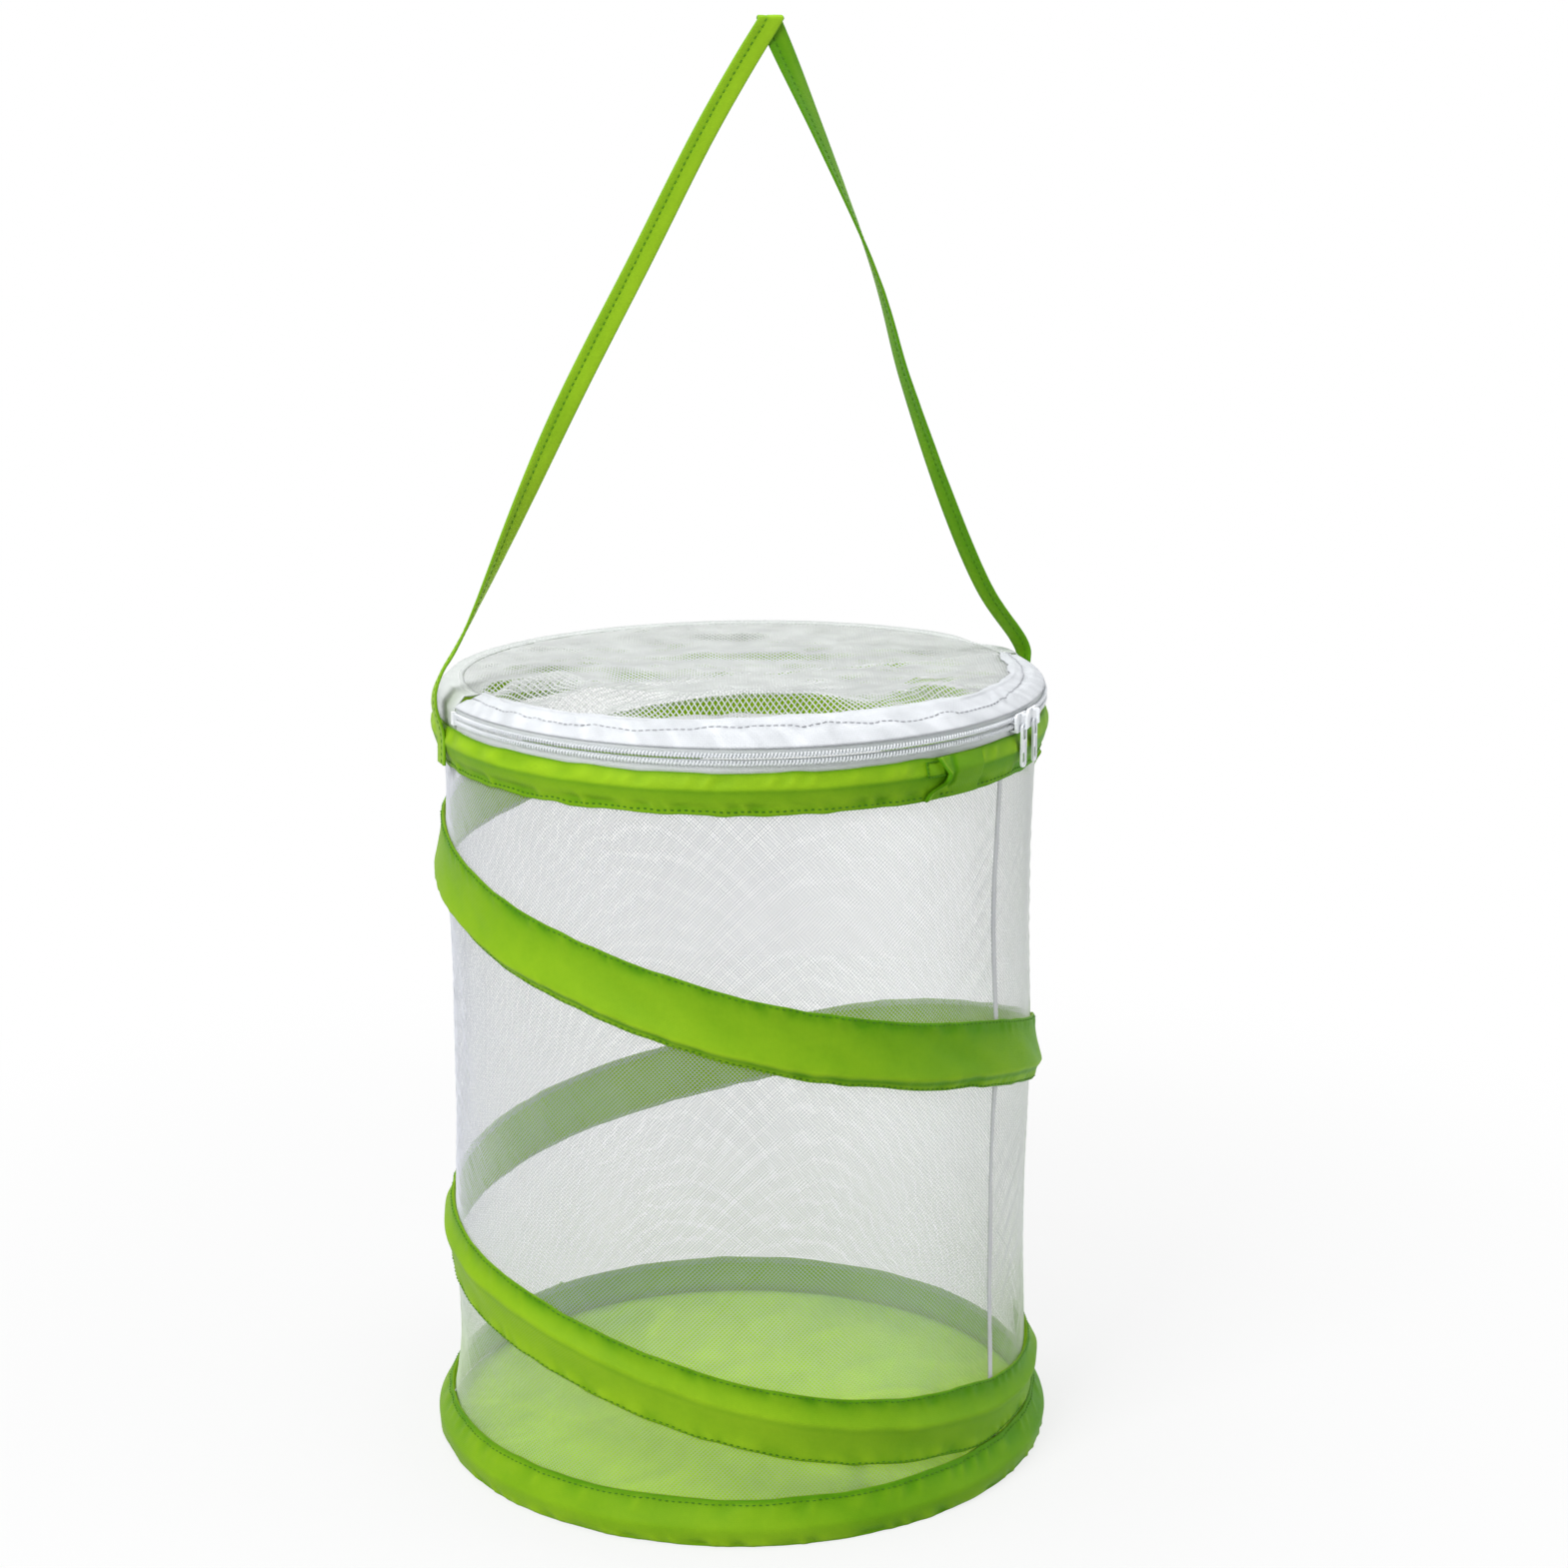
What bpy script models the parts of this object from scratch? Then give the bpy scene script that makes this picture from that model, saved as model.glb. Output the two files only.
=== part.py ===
"""Pop-up insect cage: two sprung hoops and a coil sewn into cloth sleeves, a net wall,
a net top whose front half is a zipped flap, and a carry strap.

Metres, +Z up. The origin is the middle of the floor's underside, the strap's ends lie
on the X axis, and the flap opens from the front, -Y.
"""

import math

import bmesh
import bpy
from mathutils import Matrix, Vector

# Cloth, net and wire
CLOTH_THICKNESS = 0.0006
SEAM_THICKNESS = 0.0015
NET_THICKNESS = 0.0008
WIRE_RADIUS = 0.001
WIRE_GAP = 0.00035
SOFT_GAP = 0.0006
SEAT_GAP = 0.0003

# Net wall
WALL_RADIUS = 0.136
WALL_CELLS_ROUND = 16
WALL_ROWS = 9
WALL_STRAND_SHARE = 0.11
FLARE_HEIGHT = 0.040
SEAM_TAPE_WIDTH = 0.008
SEAM_TAPE_DEPTH = 0.0019
SEAM_TAPE_ANGLE = math.radians(-53)

# Bottom hoop, its sleeve and the floor
BOTTOM_HOOP_FLARE = 0.0076
BOTTOM_WIRE_HEIGHT = 0.0085
BOTTOM_CASING_HEIGHT = 0.0205
BOTTOM_JOIN_ANGLE = math.radians(112)
FLOOR_THICKNESS = 0.001
FLOOR_MARGIN = 0.0009

# Top hoop and its sleeve
TOP_HOOP_HEIGHT = 0.342
TOP_CASING_HEIGHT = 0.018
TOP_EDGE_LEAN = 0.0011
TOP_JOIN_ANGLE = math.radians(-72)

# Parts of a sleeve's join
CASING_OPENING = 0.017
JOIN_LENGTH = 0.024
JOIN_THICKNESS = 0.0008
JOIN_FOLD_THICKNESS = 0.0021
FERRULE_LENGTH = 0.012
FERRULE_RADIUS = 0.0017
FERRULE_BORE_RADIUS = 0.00125
WIRE_END_GAP = 0.0006
CAVITY_TUCK_SHARE = 0.16
CAVITY_EDGE = 0.0003

# Coil and its sleeve: heights and wire places at each eighth of a turn, as shares
COIL_TURNS = 2
COIL_START_ANGLE = math.radians(-10)
COIL_TOP_DROP = 0.020
COIL_FOOT_RISE = 0.0115
COIL_BAND_HEIGHT = 0.031
COIL_HEIGHT_SHARES = (
    1.0, 0.979, 0.948, 0.910, 0.869, 0.783, 0.686, 0.603, 0.507,
    0.424, 0.331, 0.272, 0.231, 0.172, 0.072, 0.012, 0.0,
)
COIL_WIRE_SHARES = (
    0.0, -0.28, -0.48, -0.58, -0.6, -0.62, -0.6, -0.52, -0.4,
    -0.25, -0.1, 0.1, 0.25, 0.3, 0.25, 0.1, 0.0,
)
COIL_MOUTH_LENGTH = 0.030
COIL_SLEEVE_OVERHANG = 0.006
CAP_LENGTH = 0.010
CAP_WALL = 0.0005

# Zip
TAPE_THICKNESS = 0.0006
TAPE_HEM = 0.00145
CHAIN_SLOT = 0.0011
COIL_HALF_HEIGHT = 0.0023
COIL_HALF_DEPTH = 0.0018
STOP_LENGTH = 0.003
FOLD_OFFSET = 0.012

# Shoulder and rim of the net top
SHOULDER_GAP = 0.0006
RIM_CROWN = 0.0043
RIM_RISE = 0.004
RIM_WIDTH = 0.0115
TAPE_LEAN_SHARE = 0.38
BINDING_THICKNESS = 0.0016
PANEL_TAPE_THICKNESS = 0.0008
TOP_NET_PITCH = 0.0195
TOP_NET_STRAND = 0.0022
TOP_NET_MARGIN = 0.0025

# Zip sliders and their pulls
MEETING_ANGLE = math.radians(-47)
SLIDER_LENGTH = 0.011
SLIDER_SPACING = 0.0124
SLIDER_PLATE = 0.001
SLIDER_GAP = 0.00035
SLIDER_MARGIN = 0.001
SLIDER_FLANGE = 0.0013
SLIDER_WEB = 0.0005
SLIDER_NOSE_SHARE = 0.62
BRIDGE_WIDTH = 0.0016
BRIDGE_BAR = 0.001
BRIDGE_RISE = 0.0037
BRIDGE_DROP = 0.0033
BRIDGE_CORNER = 0.0005
PULL_GAP = 0.0003
PULL_THICKNESS = 0.001
PULL_BAR = 0.0011
PULL_WIDTH = 0.0048
PULL_LOOP_WIDTH = 0.0025
PULL_LOOP_LENGTH = 0.0060
PULL_LENGTH = 0.0195
PULL_RAIL = 0.0008
PULL_RECESS = 0.0003
PULL_CORNER = 0.0012
PULL_SLOT_WIDTH = 0.0018
PULL_SLOT_LENGTH = 0.0045
PULL_SLOT_RISE = 0.002

# Carry strap
STRAP_WIDTH = 0.0105
STRAP_THICKNESS = 0.0014
STRAP_RISE = 0.314
STRAP_TOP_OFFSET = 0.015
STRAP_TAIL = 0.008
STRAP_FOLD_GAP = 0.0004
# Each leg's route, from its tail to the fold: share of the reach outward, share of the rise
LEFT_LEG_SHARES = (
    (1.0, -0.0255), (1.0, 0.019), (1.019, 0.064), (0.995, 0.103), (0.893, 0.181),
    (0.593, 0.455), (0.325, 0.672), (0.105, 0.85), (-0.106, 1.0),
)
RIGHT_LEG_SHARES = (
    (1.0, -0.0255), (1.0, 0.019), (1.011, 0.057), (0.99, 0.09), (0.878, 0.172),
    (0.738, 0.302), (0.573, 0.487), (0.439, 0.672), (0.106, 1.0),
)
# How far each leg is turned at the same places, in degrees
LEFT_LEG_TURNS = (0.0, 0.0, 6.0, 16.0, 22.0, 88.0, 92.0, 90.0, 90.0)
RIGHT_LEG_TURNS = (0.0, 0.0, -10.0, -25.0, -27.0, -24.0, -6.0, 15.0, 80.0)

# Fineness of round shapes
RING_STEPS = 48
WIRE_SIDES_RESOLUTION = 1
ROUND_SIDES = 8
SMOOTH_ANGLE = math.radians(35)
LEG_STEPS = 18
FOLD_STEPS = 5
CUT_OVERRUN = 0.002

# Sizes that follow from those above
SLEEVE_DEPTH = 2 * (WIRE_RADIUS + WIRE_GAP + CLOTH_THICKNESS)
BOTTOM_HOOP_RADIUS = WALL_RADIUS + BOTTOM_HOOP_FLARE
FOOT_RADIUS = BOTTOM_HOOP_RADIUS - SLEEVE_DEPTH / 2 - SOFT_GAP
TOP_HOOP_RADIUS = WALL_RADIUS + SOFT_GAP + SLEEVE_DEPTH / 2
TOP_CASING_FOOT = TOP_HOOP_HEIGHT - TOP_CASING_HEIGHT / 2
TOP_CASING_EDGE = TOP_HOOP_HEIGHT + TOP_CASING_HEIGHT / 2
TOP_EDGE_RADIUS = WALL_RADIUS + SOFT_GAP + SEAM_THICKNESS / 2 + TOP_EDGE_LEAN
WALL_FOOT = FLOOR_THICKNESS + SEAT_GAP
WALL_HEAD = TOP_CASING_EDGE - SEAT_GAP
CAP_RADIUS = FERRULE_BORE_RADIUS + CAP_WALL
MOUTH_DEPTH = 2 * (CAP_RADIUS + WIRE_GAP + CLOTH_THICKNESS)
COIL_TOP = TOP_HOOP_HEIGHT - COIL_TOP_DROP
COIL_FOOT = BOTTOM_CASING_HEIGHT + COIL_FOOT_RISE
COIL_SWEEP = 2 * math.pi * COIL_TURNS
TAPE_RADIUS = TOP_EDGE_RADIUS - TAPE_THICKNESS
TAPE_FACE = TOP_EDGE_RADIUS
LOWER_TAPE_FOOT = TOP_CASING_EDGE + SEAT_GAP
LOWER_TAPE_HEIGHT = TAPE_HEM + SLIDER_FLANGE + SLIDER_GAP + COIL_HALF_HEIGHT
CHAIN_HEIGHT = LOWER_TAPE_FOOT + LOWER_TAPE_HEIGHT + CHAIN_SLOT / 2
CHAIN_HALF_WIDTH = CHAIN_SLOT / 2 + COIL_HALF_HEIGHT
SLIDER_RISE = CHAIN_HALF_WIDTH + SLIDER_MARGIN
SLIDER_DROP = CHAIN_HALF_WIDTH + SLIDER_GAP + SLIDER_FLANGE
SHOULDER_BEND_HEIGHT = CHAIN_HEIGHT + SLIDER_RISE + SHOULDER_GAP
RIM_HEIGHT = SHOULDER_BEND_HEIGHT + RIM_CROWN
CHAIN_FACE = TAPE_FACE + SEAT_GAP + COIL_HALF_DEPTH
CHAIN_RADIUS = CHAIN_FACE - COIL_HALF_DEPTH / 2
ZIP_END_ANGLE = math.asin(FOLD_OFFSET / TAPE_RADIUS)
RIM_RADIUS = TAPE_RADIUS - RIM_WIDTH
NET_RADIUS = RIM_RADIUS - SEAT_GAP
RIM_SLOPE = math.atan2(RIM_RISE, RIM_RADIUS)
SLIDER_OUTER_FACE = CHAIN_FACE + SLIDER_GAP + SLIDER_PLATE
SLIDER_INNER_FACE = TAPE_RADIUS - SLIDER_GAP - SLIDER_PLATE
PULL_SWING_RADIUS = math.hypot(PULL_BAR, PULL_THICKNESS) / 2
PULL_AXIS_RADIUS = SLIDER_OUTER_FACE + PULL_GAP + PULL_SWING_RADIUS
BRIDGE_INNER_FACE = PULL_AXIS_RADIUS + PULL_SWING_RADIUS + PULL_GAP
PULL_AXIS_HEIGHT = CHAIN_HEIGHT - BRIDGE_DROP + BRIDGE_BAR + PULL_SWING_RADIUS + PULL_GAP / 2
STRAP_REACH = TOP_HOOP_RADIUS + SLEEVE_DEPTH / 2 + SEAT_GAP + STRAP_THICKNESS / 2
FOLD_AXIS_HEIGHT = RIM_HEIGHT + RIM_SLOPE * FOLD_OFFSET + NET_THICKNESS / 2 + SEAT_GAP


def clear_scene():
    """Remove whatever the file holds."""
    for item in list(bpy.data.objects):
        bpy.data.objects.remove(item, do_unlink=True)


def make_material(name, colour, roughness, metallic=0.0):
    """A Principled material with one colour."""
    material = bpy.data.materials.new(name)
    material.use_nodes = True
    shader = material.node_tree.nodes["Principled BSDF"]
    shader.inputs["Base Color"].default_value = (*colour, 1.0)
    shader.inputs["Roughness"].default_value = roughness
    shader.inputs["Metallic"].default_value = metallic
    material.diffuse_color = (*colour, 1.0)
    return material


def make_materials():
    """The finishes of the cage."""
    return {
        "green": make_material("green_nylon", (0.19, 0.42, 0.02), 0.55),
        "white": make_material("white_tape", (0.78, 0.80, 0.84), 0.7),
        "net": make_material("white_net", (0.80, 0.83, 0.85), 0.6),
        "zip": make_material("white_zip", (0.82, 0.84, 0.87), 0.35),
        "steel": make_material("spring_steel", (0.35, 0.35, 0.36), 0.35, 1.0),
        "cap": make_material("clear_plastic", (0.6, 0.6, 0.58), 0.4),
    }


def make_pivot(name, place):
    """An empty on a joint's axis, which carries the pieces that move with it."""
    pivot = bpy.data.objects.new(name, None)
    pivot.location = place
    bpy.context.scene.collection.objects.link(pivot)
    return pivot


def make_pivots():
    """The cage's joints: where each moving group has its axis."""
    base = make_pivot("base_origin", Vector())
    top = make_pivot("top_frame_origin", Vector((0, 0, TOP_HOOP_HEIGHT)))
    flap = make_pivot("flap_axis", Vector((0, -FOLD_OFFSET, FOLD_AXIS_HEIGHT)))
    strap = make_pivot("strap_axis", Vector((0, 0, TOP_HOOP_HEIGHT)))
    pivots = {"base": base, "top": top, "flap": flap, "strap": strap}
    for side, angle in slider_angles().items():
        pivots["slider_" + side] = make_pivot("slider_axis_" + side, Vector((0, 0, CHAIN_HEIGHT)))
        place = polar(PULL_AXIS_RADIUS, angle, PULL_AXIS_HEIGHT)
        pivots["pull_" + side] = make_pivot("pull_axis_" + side, place)
    return pivots


def place_object(item, pivot):
    """Hang a piece, drawn where it stands, on its pivot."""
    item.parent = pivot
    item.location = -pivot.location
    bpy.context.scene.collection.objects.link(item)


def finish_mesh(name, shape, material, pivot, smooth=True):
    """Turn a bmesh into a named object with outward faces."""
    bmesh.ops.recalc_face_normals(shape, faces=shape.faces)
    mesh = bpy.data.meshes.new(name)
    shape.to_mesh(mesh)
    shape.free()
    if smooth:
        mesh.shade_smooth()
        mesh.set_sharp_from_angle(angle=SMOOTH_ANGLE)
    mesh.materials.append(material)
    item = bpy.data.objects.new(name, mesh)
    place_object(item, pivot)
    return item


def add_cutter(name, shape, pivot):
    """A cutter's object: drawn as wire, and left out of the model."""
    bmesh.ops.recalc_face_normals(shape, faces=shape.faces)
    mesh = bpy.data.meshes.new(name)
    shape.to_mesh(mesh)
    shape.free()
    cutter = bpy.data.objects.new(name, mesh)
    place_object(cutter, pivot)
    cutter.hide_render = True
    cutter.display_type = "WIRE"
    return cutter


def add_boolean(item, cutter, operation):
    """Cut, join or trim a piece with another shape."""
    modifier = item.modifiers.new(cutter.name, "BOOLEAN")
    modifier.operation = operation
    modifier.solver = "EXACT"
    modifier.object = cutter


def polar(radius, angle, height):
    """A point on a cylinder about the cage's axis."""
    return Vector((radius * math.cos(angle), radius * math.sin(angle), height))


def mix(a, b, share):
    """The value that lies at a share of the way from a to b."""
    return a + (b - a) * share


def ease(share):
    """A share that starts and ends gently."""
    share = min(max(share, 0.0), 1.0)
    return share * share * (3 - 2 * share)


def smooth_value(values, place):
    """Read a table at a place between its entries, on a smooth curve through them."""
    last = len(values) - 1
    place = min(max(place, 0.0), last)
    i = min(int(place), last - 1)
    share = place - i
    before, a, b, after = (values[min(max(k, 0), last)] for k in (i - 1, i, i + 1, i + 2))
    slope_a = (b - before) / 2
    slope_b = (after - a) / 2
    rest = 1 - share
    return (
        a * (1 + 2 * share) * rest * rest
        + b * (3 - 2 * share) * share * share
        + slope_a * share * rest * rest
        - slope_b * share * share * rest
    )


def steps_between(start, end, count):
    """Evenly spaced values from start to end, both included."""
    return [mix(start, end, i / count) for i in range(count + 1)]


def add_walls(shape, rows, closed=False):
    """Join rows of vertices, each a closed loop, by quads."""
    pairs = list(zip(rows, rows[1:]))
    if closed:
        pairs.append((rows[-1], rows[0]))
    for low, high in pairs:
        for i in range(len(low)):
            j = (i + 1) % len(low)
            shape.faces.new((low[i], low[j], high[j], high[i]))


def loft(sections):
    """A solid through closed loops of points, capped at both ends."""
    shape = bmesh.new()
    rows = [[shape.verts.new(p) for p in section] for section in sections]
    add_walls(shape, rows)
    shape.faces.new(rows[0])
    shape.faces.new(rows[-1])
    return shape


def sleeve(outers, inners):
    """A sleeve with two open mouths, from loops of its outside and of its hollow."""
    shape = bmesh.new()
    outer_rows = [[shape.verts.new(p) for p in section] for section in outers]
    inner_rows = [[shape.verts.new(p) for p in section] for section in inners]
    add_walls(shape, outer_rows)
    add_walls(shape, inner_rows)
    for outer, inner in ((outer_rows[0], inner_rows[0]), (outer_rows[-1], inner_rows[-1])):
        add_walls(shape, [outer, inner])
    return shape


def prism(outline, frame, low, high):
    """An outline, drawn in a frame's first and third axes, extruded along its second."""
    sections = []
    for depth in (low, high):
        sections.append([frame @ Vector((x, depth, z)) for x, z in outline])
    return loft(sections)


def station_frame(angle, radius=0.0, height=0.0):
    """Local axes at a place on the ring: along the ring, outward, up."""
    place = polar(radius, angle, height)
    turn = Matrix.Rotation(angle - math.pi / 2, 4, "Z")
    return Matrix.Translation(place) @ turn


def wall_radius(height):
    """Outer face of the net wall, which flares to the bottom hoop."""
    share = max(0.0, 1 - height / FLARE_HEIGHT)
    return mix(WALL_RADIUS, FOOT_RADIUS, share)


def casing_loop(angle, levels):
    """A sleeve's section at an angle, from (height, middle radius, half thickness)."""
    outer = [polar(middle + half, angle, height) for height, middle, half in levels]
    inner = [polar(middle - half, angle, height) for height, middle, half in reversed(levels)]
    return outer + inner


def cavity_levels(levels, half_hollow):
    """The levels of the hollow inside a sleeve's section."""
    low, middle, high = levels
    ends = []
    for edge in (low, high):
        height = mix(edge[0], middle[0], CAVITY_TUCK_SHARE)
        radius = mix(edge[1], middle[1], CAVITY_TUCK_SHARE)
        ends.append((height, radius, CAVITY_EDGE / 2))
    return [ends[0], (middle[0], middle[1], half_hollow), ends[1]]


def bottom_levels():
    """The bottom sleeve's section."""
    head_radius = wall_radius(BOTTOM_CASING_HEIGHT) + SOFT_GAP + SEAM_THICKNESS / 2
    return [
        (0.0, BOTTOM_HOOP_RADIUS, SEAM_THICKNESS / 2),
        (BOTTOM_WIRE_HEIGHT, BOTTOM_HOOP_RADIUS, SLEEVE_DEPTH / 2),
        (BOTTOM_CASING_HEIGHT, head_radius, SEAM_THICKNESS / 2),
    ]


def top_levels():
    """The top sleeve's section."""
    foot_radius = WALL_RADIUS + SOFT_GAP + SEAM_THICKNESS / 2
    return [
        (TOP_CASING_FOOT, foot_radius, SEAM_THICKNESS / 2),
        (TOP_HOOP_HEIGHT, TOP_HOOP_RADIUS, SLEEVE_DEPTH / 2),
        (TOP_CASING_EDGE, TOP_EDGE_RADIUS, SEAM_THICKNESS / 2),
    ]


def make_casing(name, levels, join_angle, material, pivot):
    """A hoop's sleeve, open at its join so that the wire can go in."""
    half_open = CASING_OPENING / levels[1][1] / 2
    angles = steps_between(join_angle + half_open, join_angle + 2 * math.pi - half_open, RING_STEPS)
    hollow = cavity_levels(levels, WIRE_RADIUS + WIRE_GAP)
    outers = [casing_loop(angle, levels) for angle in angles]
    inners = [casing_loop(angle, hollow) for angle in angles]
    return finish_mesh(name, sleeve(outers, inners), material, pivot)


def make_casing_join(name, levels, join_angle, material, pivot):
    """The tuck over a sleeve's opening: a bent strip whose one edge is folded double."""
    half = JOIN_LENGTH / levels[1][1] / 2
    shares = (0.0, 0.12, 0.24, 0.62, 1.0)
    depths = (JOIN_THICKNESS, JOIN_FOLD_THICKNESS, JOIN_THICKNESS, JOIN_THICKNESS, JOIN_THICKNESS)
    sections = []
    for share, depth in zip(shares, depths):
        angle = mix(join_angle + half, join_angle - half, share)
        faces = [(height, middle + side + SEAT_GAP) for height, middle, side in levels]
        outer = [polar(radius + depth, angle, height) for height, radius in faces]
        inner = [polar(radius, angle, height) for height, radius in reversed(faces)]
        sections.append(outer + inner)
    return finish_mesh(name, loft(sections), material, pivot)


def make_wire(name, points, material, pivot):
    """A round wire along points."""
    curve = bpy.data.curves.new(name, "CURVE")
    curve.dimensions = "3D"
    curve.bevel_depth = WIRE_RADIUS
    curve.bevel_resolution = WIRE_SIDES_RESOLUTION
    curve.use_fill_caps = True
    spline = curve.splines.new("POLY")
    spline.points.add(len(points) - 1)
    for point, place in zip(spline.points, points):
        point.co = (*place, 1.0)
    spline.use_smooth = True
    curve.materials.append(material)
    item = bpy.data.objects.new(name, curve)
    place_object(item, pivot)
    return item


def make_hoop_wire(name, radius, height, join_angle, material, pivot):
    """A hoop of wire whose ends lie on one straight line, in the ferrule."""
    frame = station_frame(join_angle, radius, height)
    half_gap = WIRE_END_GAP / 2
    half_ferrule = FERRULE_LENGTH / 2
    start = [frame @ Vector((x, 0, 0)) for x in (-half_gap, -half_ferrule)]
    end = [frame @ Vector((x, 0, 0)) for x in (half_ferrule, half_gap)]
    clear = FERRULE_LENGTH / radius
    angles = steps_between(join_angle + clear, join_angle + 2 * math.pi - clear, RING_STEPS)
    return make_wire(name, start + [polar(radius, a, height) for a in angles] + end, material, pivot)


def round_loop(frame, radius, along):
    """A circle square to a frame's first axis."""
    angles = [2 * math.pi * i / ROUND_SIDES for i in range(ROUND_SIDES)]
    return [frame @ Vector((along, radius * math.cos(a), radius * math.sin(a))) for a in angles]


def make_ferrule(name, radius, height, join_angle, material, pivot):
    """The crimp sleeve round a hoop's two ends."""
    frame = station_frame(join_angle, radius, height)
    ends = (-FERRULE_LENGTH / 2, FERRULE_LENGTH / 2)
    outers = [round_loop(frame, FERRULE_RADIUS, along) for along in ends]
    inners = [round_loop(frame, FERRULE_BORE_RADIUS, along) for along in ends]
    return finish_mesh(name, sleeve(outers, inners), material, pivot)


def make_floor(material, pivot):
    """The floor: a disc of cloth inside the bottom sleeve's lower edge."""
    radius = BOTTOM_HOOP_RADIUS - SEAM_THICKNESS / 2 - FLOOR_MARGIN
    shape = bmesh.new()
    bmesh.ops.create_cone(
        shape, cap_ends=True, segments=RING_STEPS, radius1=radius, radius2=radius,
        depth=FLOOR_THICKNESS,
        matrix=Matrix.Translation((0, 0, FLOOR_THICKNESS / 2)),
    )
    return finish_mesh("floor_panel", shape, material, pivot)


def net_sheet(outer_points, inner_points, cells, strand_share):
    """A sheet with a hole in each cell: two skins, hole walls and outer edges."""
    shape = bmesh.new()
    outer = [shape.verts.new(p) for p in outer_points]
    inner = [shape.verts.new(p) for p in inner_points]
    edges = {}
    for cell in cells:
        holes = []
        for points in (outer_points, inner_points):
            middle = sum((points[k] for k in cell), Vector()) / len(cell)
            corners = [mix(points[k], middle, 2 * strand_share) for k in cell]
            holes.append([shape.verts.new(p) for p in corners])
        outer_hole, inner_hole = holes
        for i, a in enumerate(cell):
            j = (i + 1) % len(cell)
            b = cell[j]
            shape.faces.new((outer[a], outer[b], outer_hole[j], outer_hole[i]))
            shape.faces.new((inner[b], inner[a], inner_hole[i], inner_hole[j]))
            shape.faces.new((outer_hole[i], outer_hole[j], inner_hole[j], inner_hole[i]))
            key = (min(a, b), max(a, b))
            edges[key] = None if key in edges else (a, b)
    for edge in edges.values():
        if edge:
            a, b = edge
            shape.faces.new((outer[b], outer[a], inner[a], inner[b]))
    return shape


def wall_row_height(row):
    """Height of a row of knots: the first stretch is the flare, and the rest are even."""
    if row == 0:
        return WALL_FOOT
    return mix(FLARE_HEIGHT, WALL_HEAD, (row - 1) / (WALL_ROWS - 1))


def make_wall(material, pivot):
    """The net wall: a round lattice of crossing strands, with finer steps along its two edges."""
    outer, inner, starts = [], [], []
    edge_rows = (0, WALL_ROWS)
    for row in range(WALL_ROWS + 1):
        height = wall_row_height(row)
        steps = 2 if row in edge_rows else 1
        starts.append(len(outer))
        for i in range(WALL_CELLS_ROUND * steps):
            angle = 2 * math.pi * (i / steps + (row % 2) / 2) / WALL_CELLS_ROUND
            outer.append(polar(wall_radius(height), angle, height))
            inner.append(polar(wall_radius(height) - NET_THICKNESS, angle, height))

    def knot(row, i, halves=0):
        steps = 2 if row in edge_rows else 1
        return starts[row] + (i * steps + halves) % (WALL_CELLS_ROUND * steps)

    cells = []
    for i in range(WALL_CELLS_ROUND):
        cells.append((knot(0, i), knot(0, i, 1), knot(0, i + 1), knot(1, i)))
        for row in range(1, WALL_ROWS):
            j = i + row % 2
            cells.append((knot(row - 1, j), knot(row, i + 1), knot(row + 1, j), knot(row, i)))
        j = i + WALL_ROWS % 2
        cells.append((knot(WALL_ROWS - 1, j), knot(WALL_ROWS, i + 1), knot(WALL_ROWS, i, 1),
                      knot(WALL_ROWS, i)))
    shape = net_sheet(outer, inner, cells, WALL_STRAND_SHARE)
    return finish_mesh("wall_mesh", shape, material, pivot)


def make_wall_seam(material, pivot):
    """The tape inside the net's upright seam."""
    half = SEAM_TAPE_WIDTH / WALL_RADIUS / 2
    sections = []
    for height in (WALL_FOOT, FLARE_HEIGHT, WALL_HEAD):
        face = wall_radius(height) - SEAM_TAPE_DEPTH
        back = face - CLOTH_THICKNESS
        sections.append([
            polar(face, SEAM_TAPE_ANGLE - half, height), polar(face, SEAM_TAPE_ANGLE + half, height),
            polar(back, SEAM_TAPE_ANGLE + half, height), polar(back, SEAM_TAPE_ANGLE - half, height),
        ])
    return finish_mesh("wall_seam_tape", loft(sections), material, pivot)


def coil_table(table, sweep):
    """Read one of the coil's tables after a sweep from its start."""
    return smooth_value(table, sweep / COIL_SWEEP * (len(table) - 1))


def coil_middle(sweep):
    """Height of the middle of the coil's sleeve."""
    return mix(COIL_FOOT, COIL_TOP, coil_table(COIL_HEIGHT_SHARES, sweep))


def coil_half_height(sweep):
    """Half of the sleeve's height, which narrows where it meets the hoops' sleeves."""
    middle = coil_middle(sweep)
    room_above = TOP_CASING_FOOT - SOFT_GAP - middle
    room_below = middle - BOTTOM_CASING_HEIGHT - SOFT_GAP
    return min(COIL_BAND_HEIGHT / 2, room_above, room_below)


def coil_depth(sweep):
    """Depth of the sleeve, which swells near its mouths for the wire's caps."""
    swell = COIL_MOUTH_LENGTH / WALL_RADIUS
    from_end = min(sweep, COIL_SWEEP - sweep)
    return mix(MOUTH_DEPTH, SLEEVE_DEPTH, ease(from_end / swell - 1 / 2))


def coil_wire_point(sweep):
    """A point on the coil of wire."""
    height = coil_middle(sweep) + coil_table(COIL_WIRE_SHARES, sweep) * coil_half_height(sweep)
    radius = wall_radius(height) + SOFT_GAP + coil_depth(sweep) / 2
    return polar(radius, COIL_START_ANGLE + sweep, height)


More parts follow.
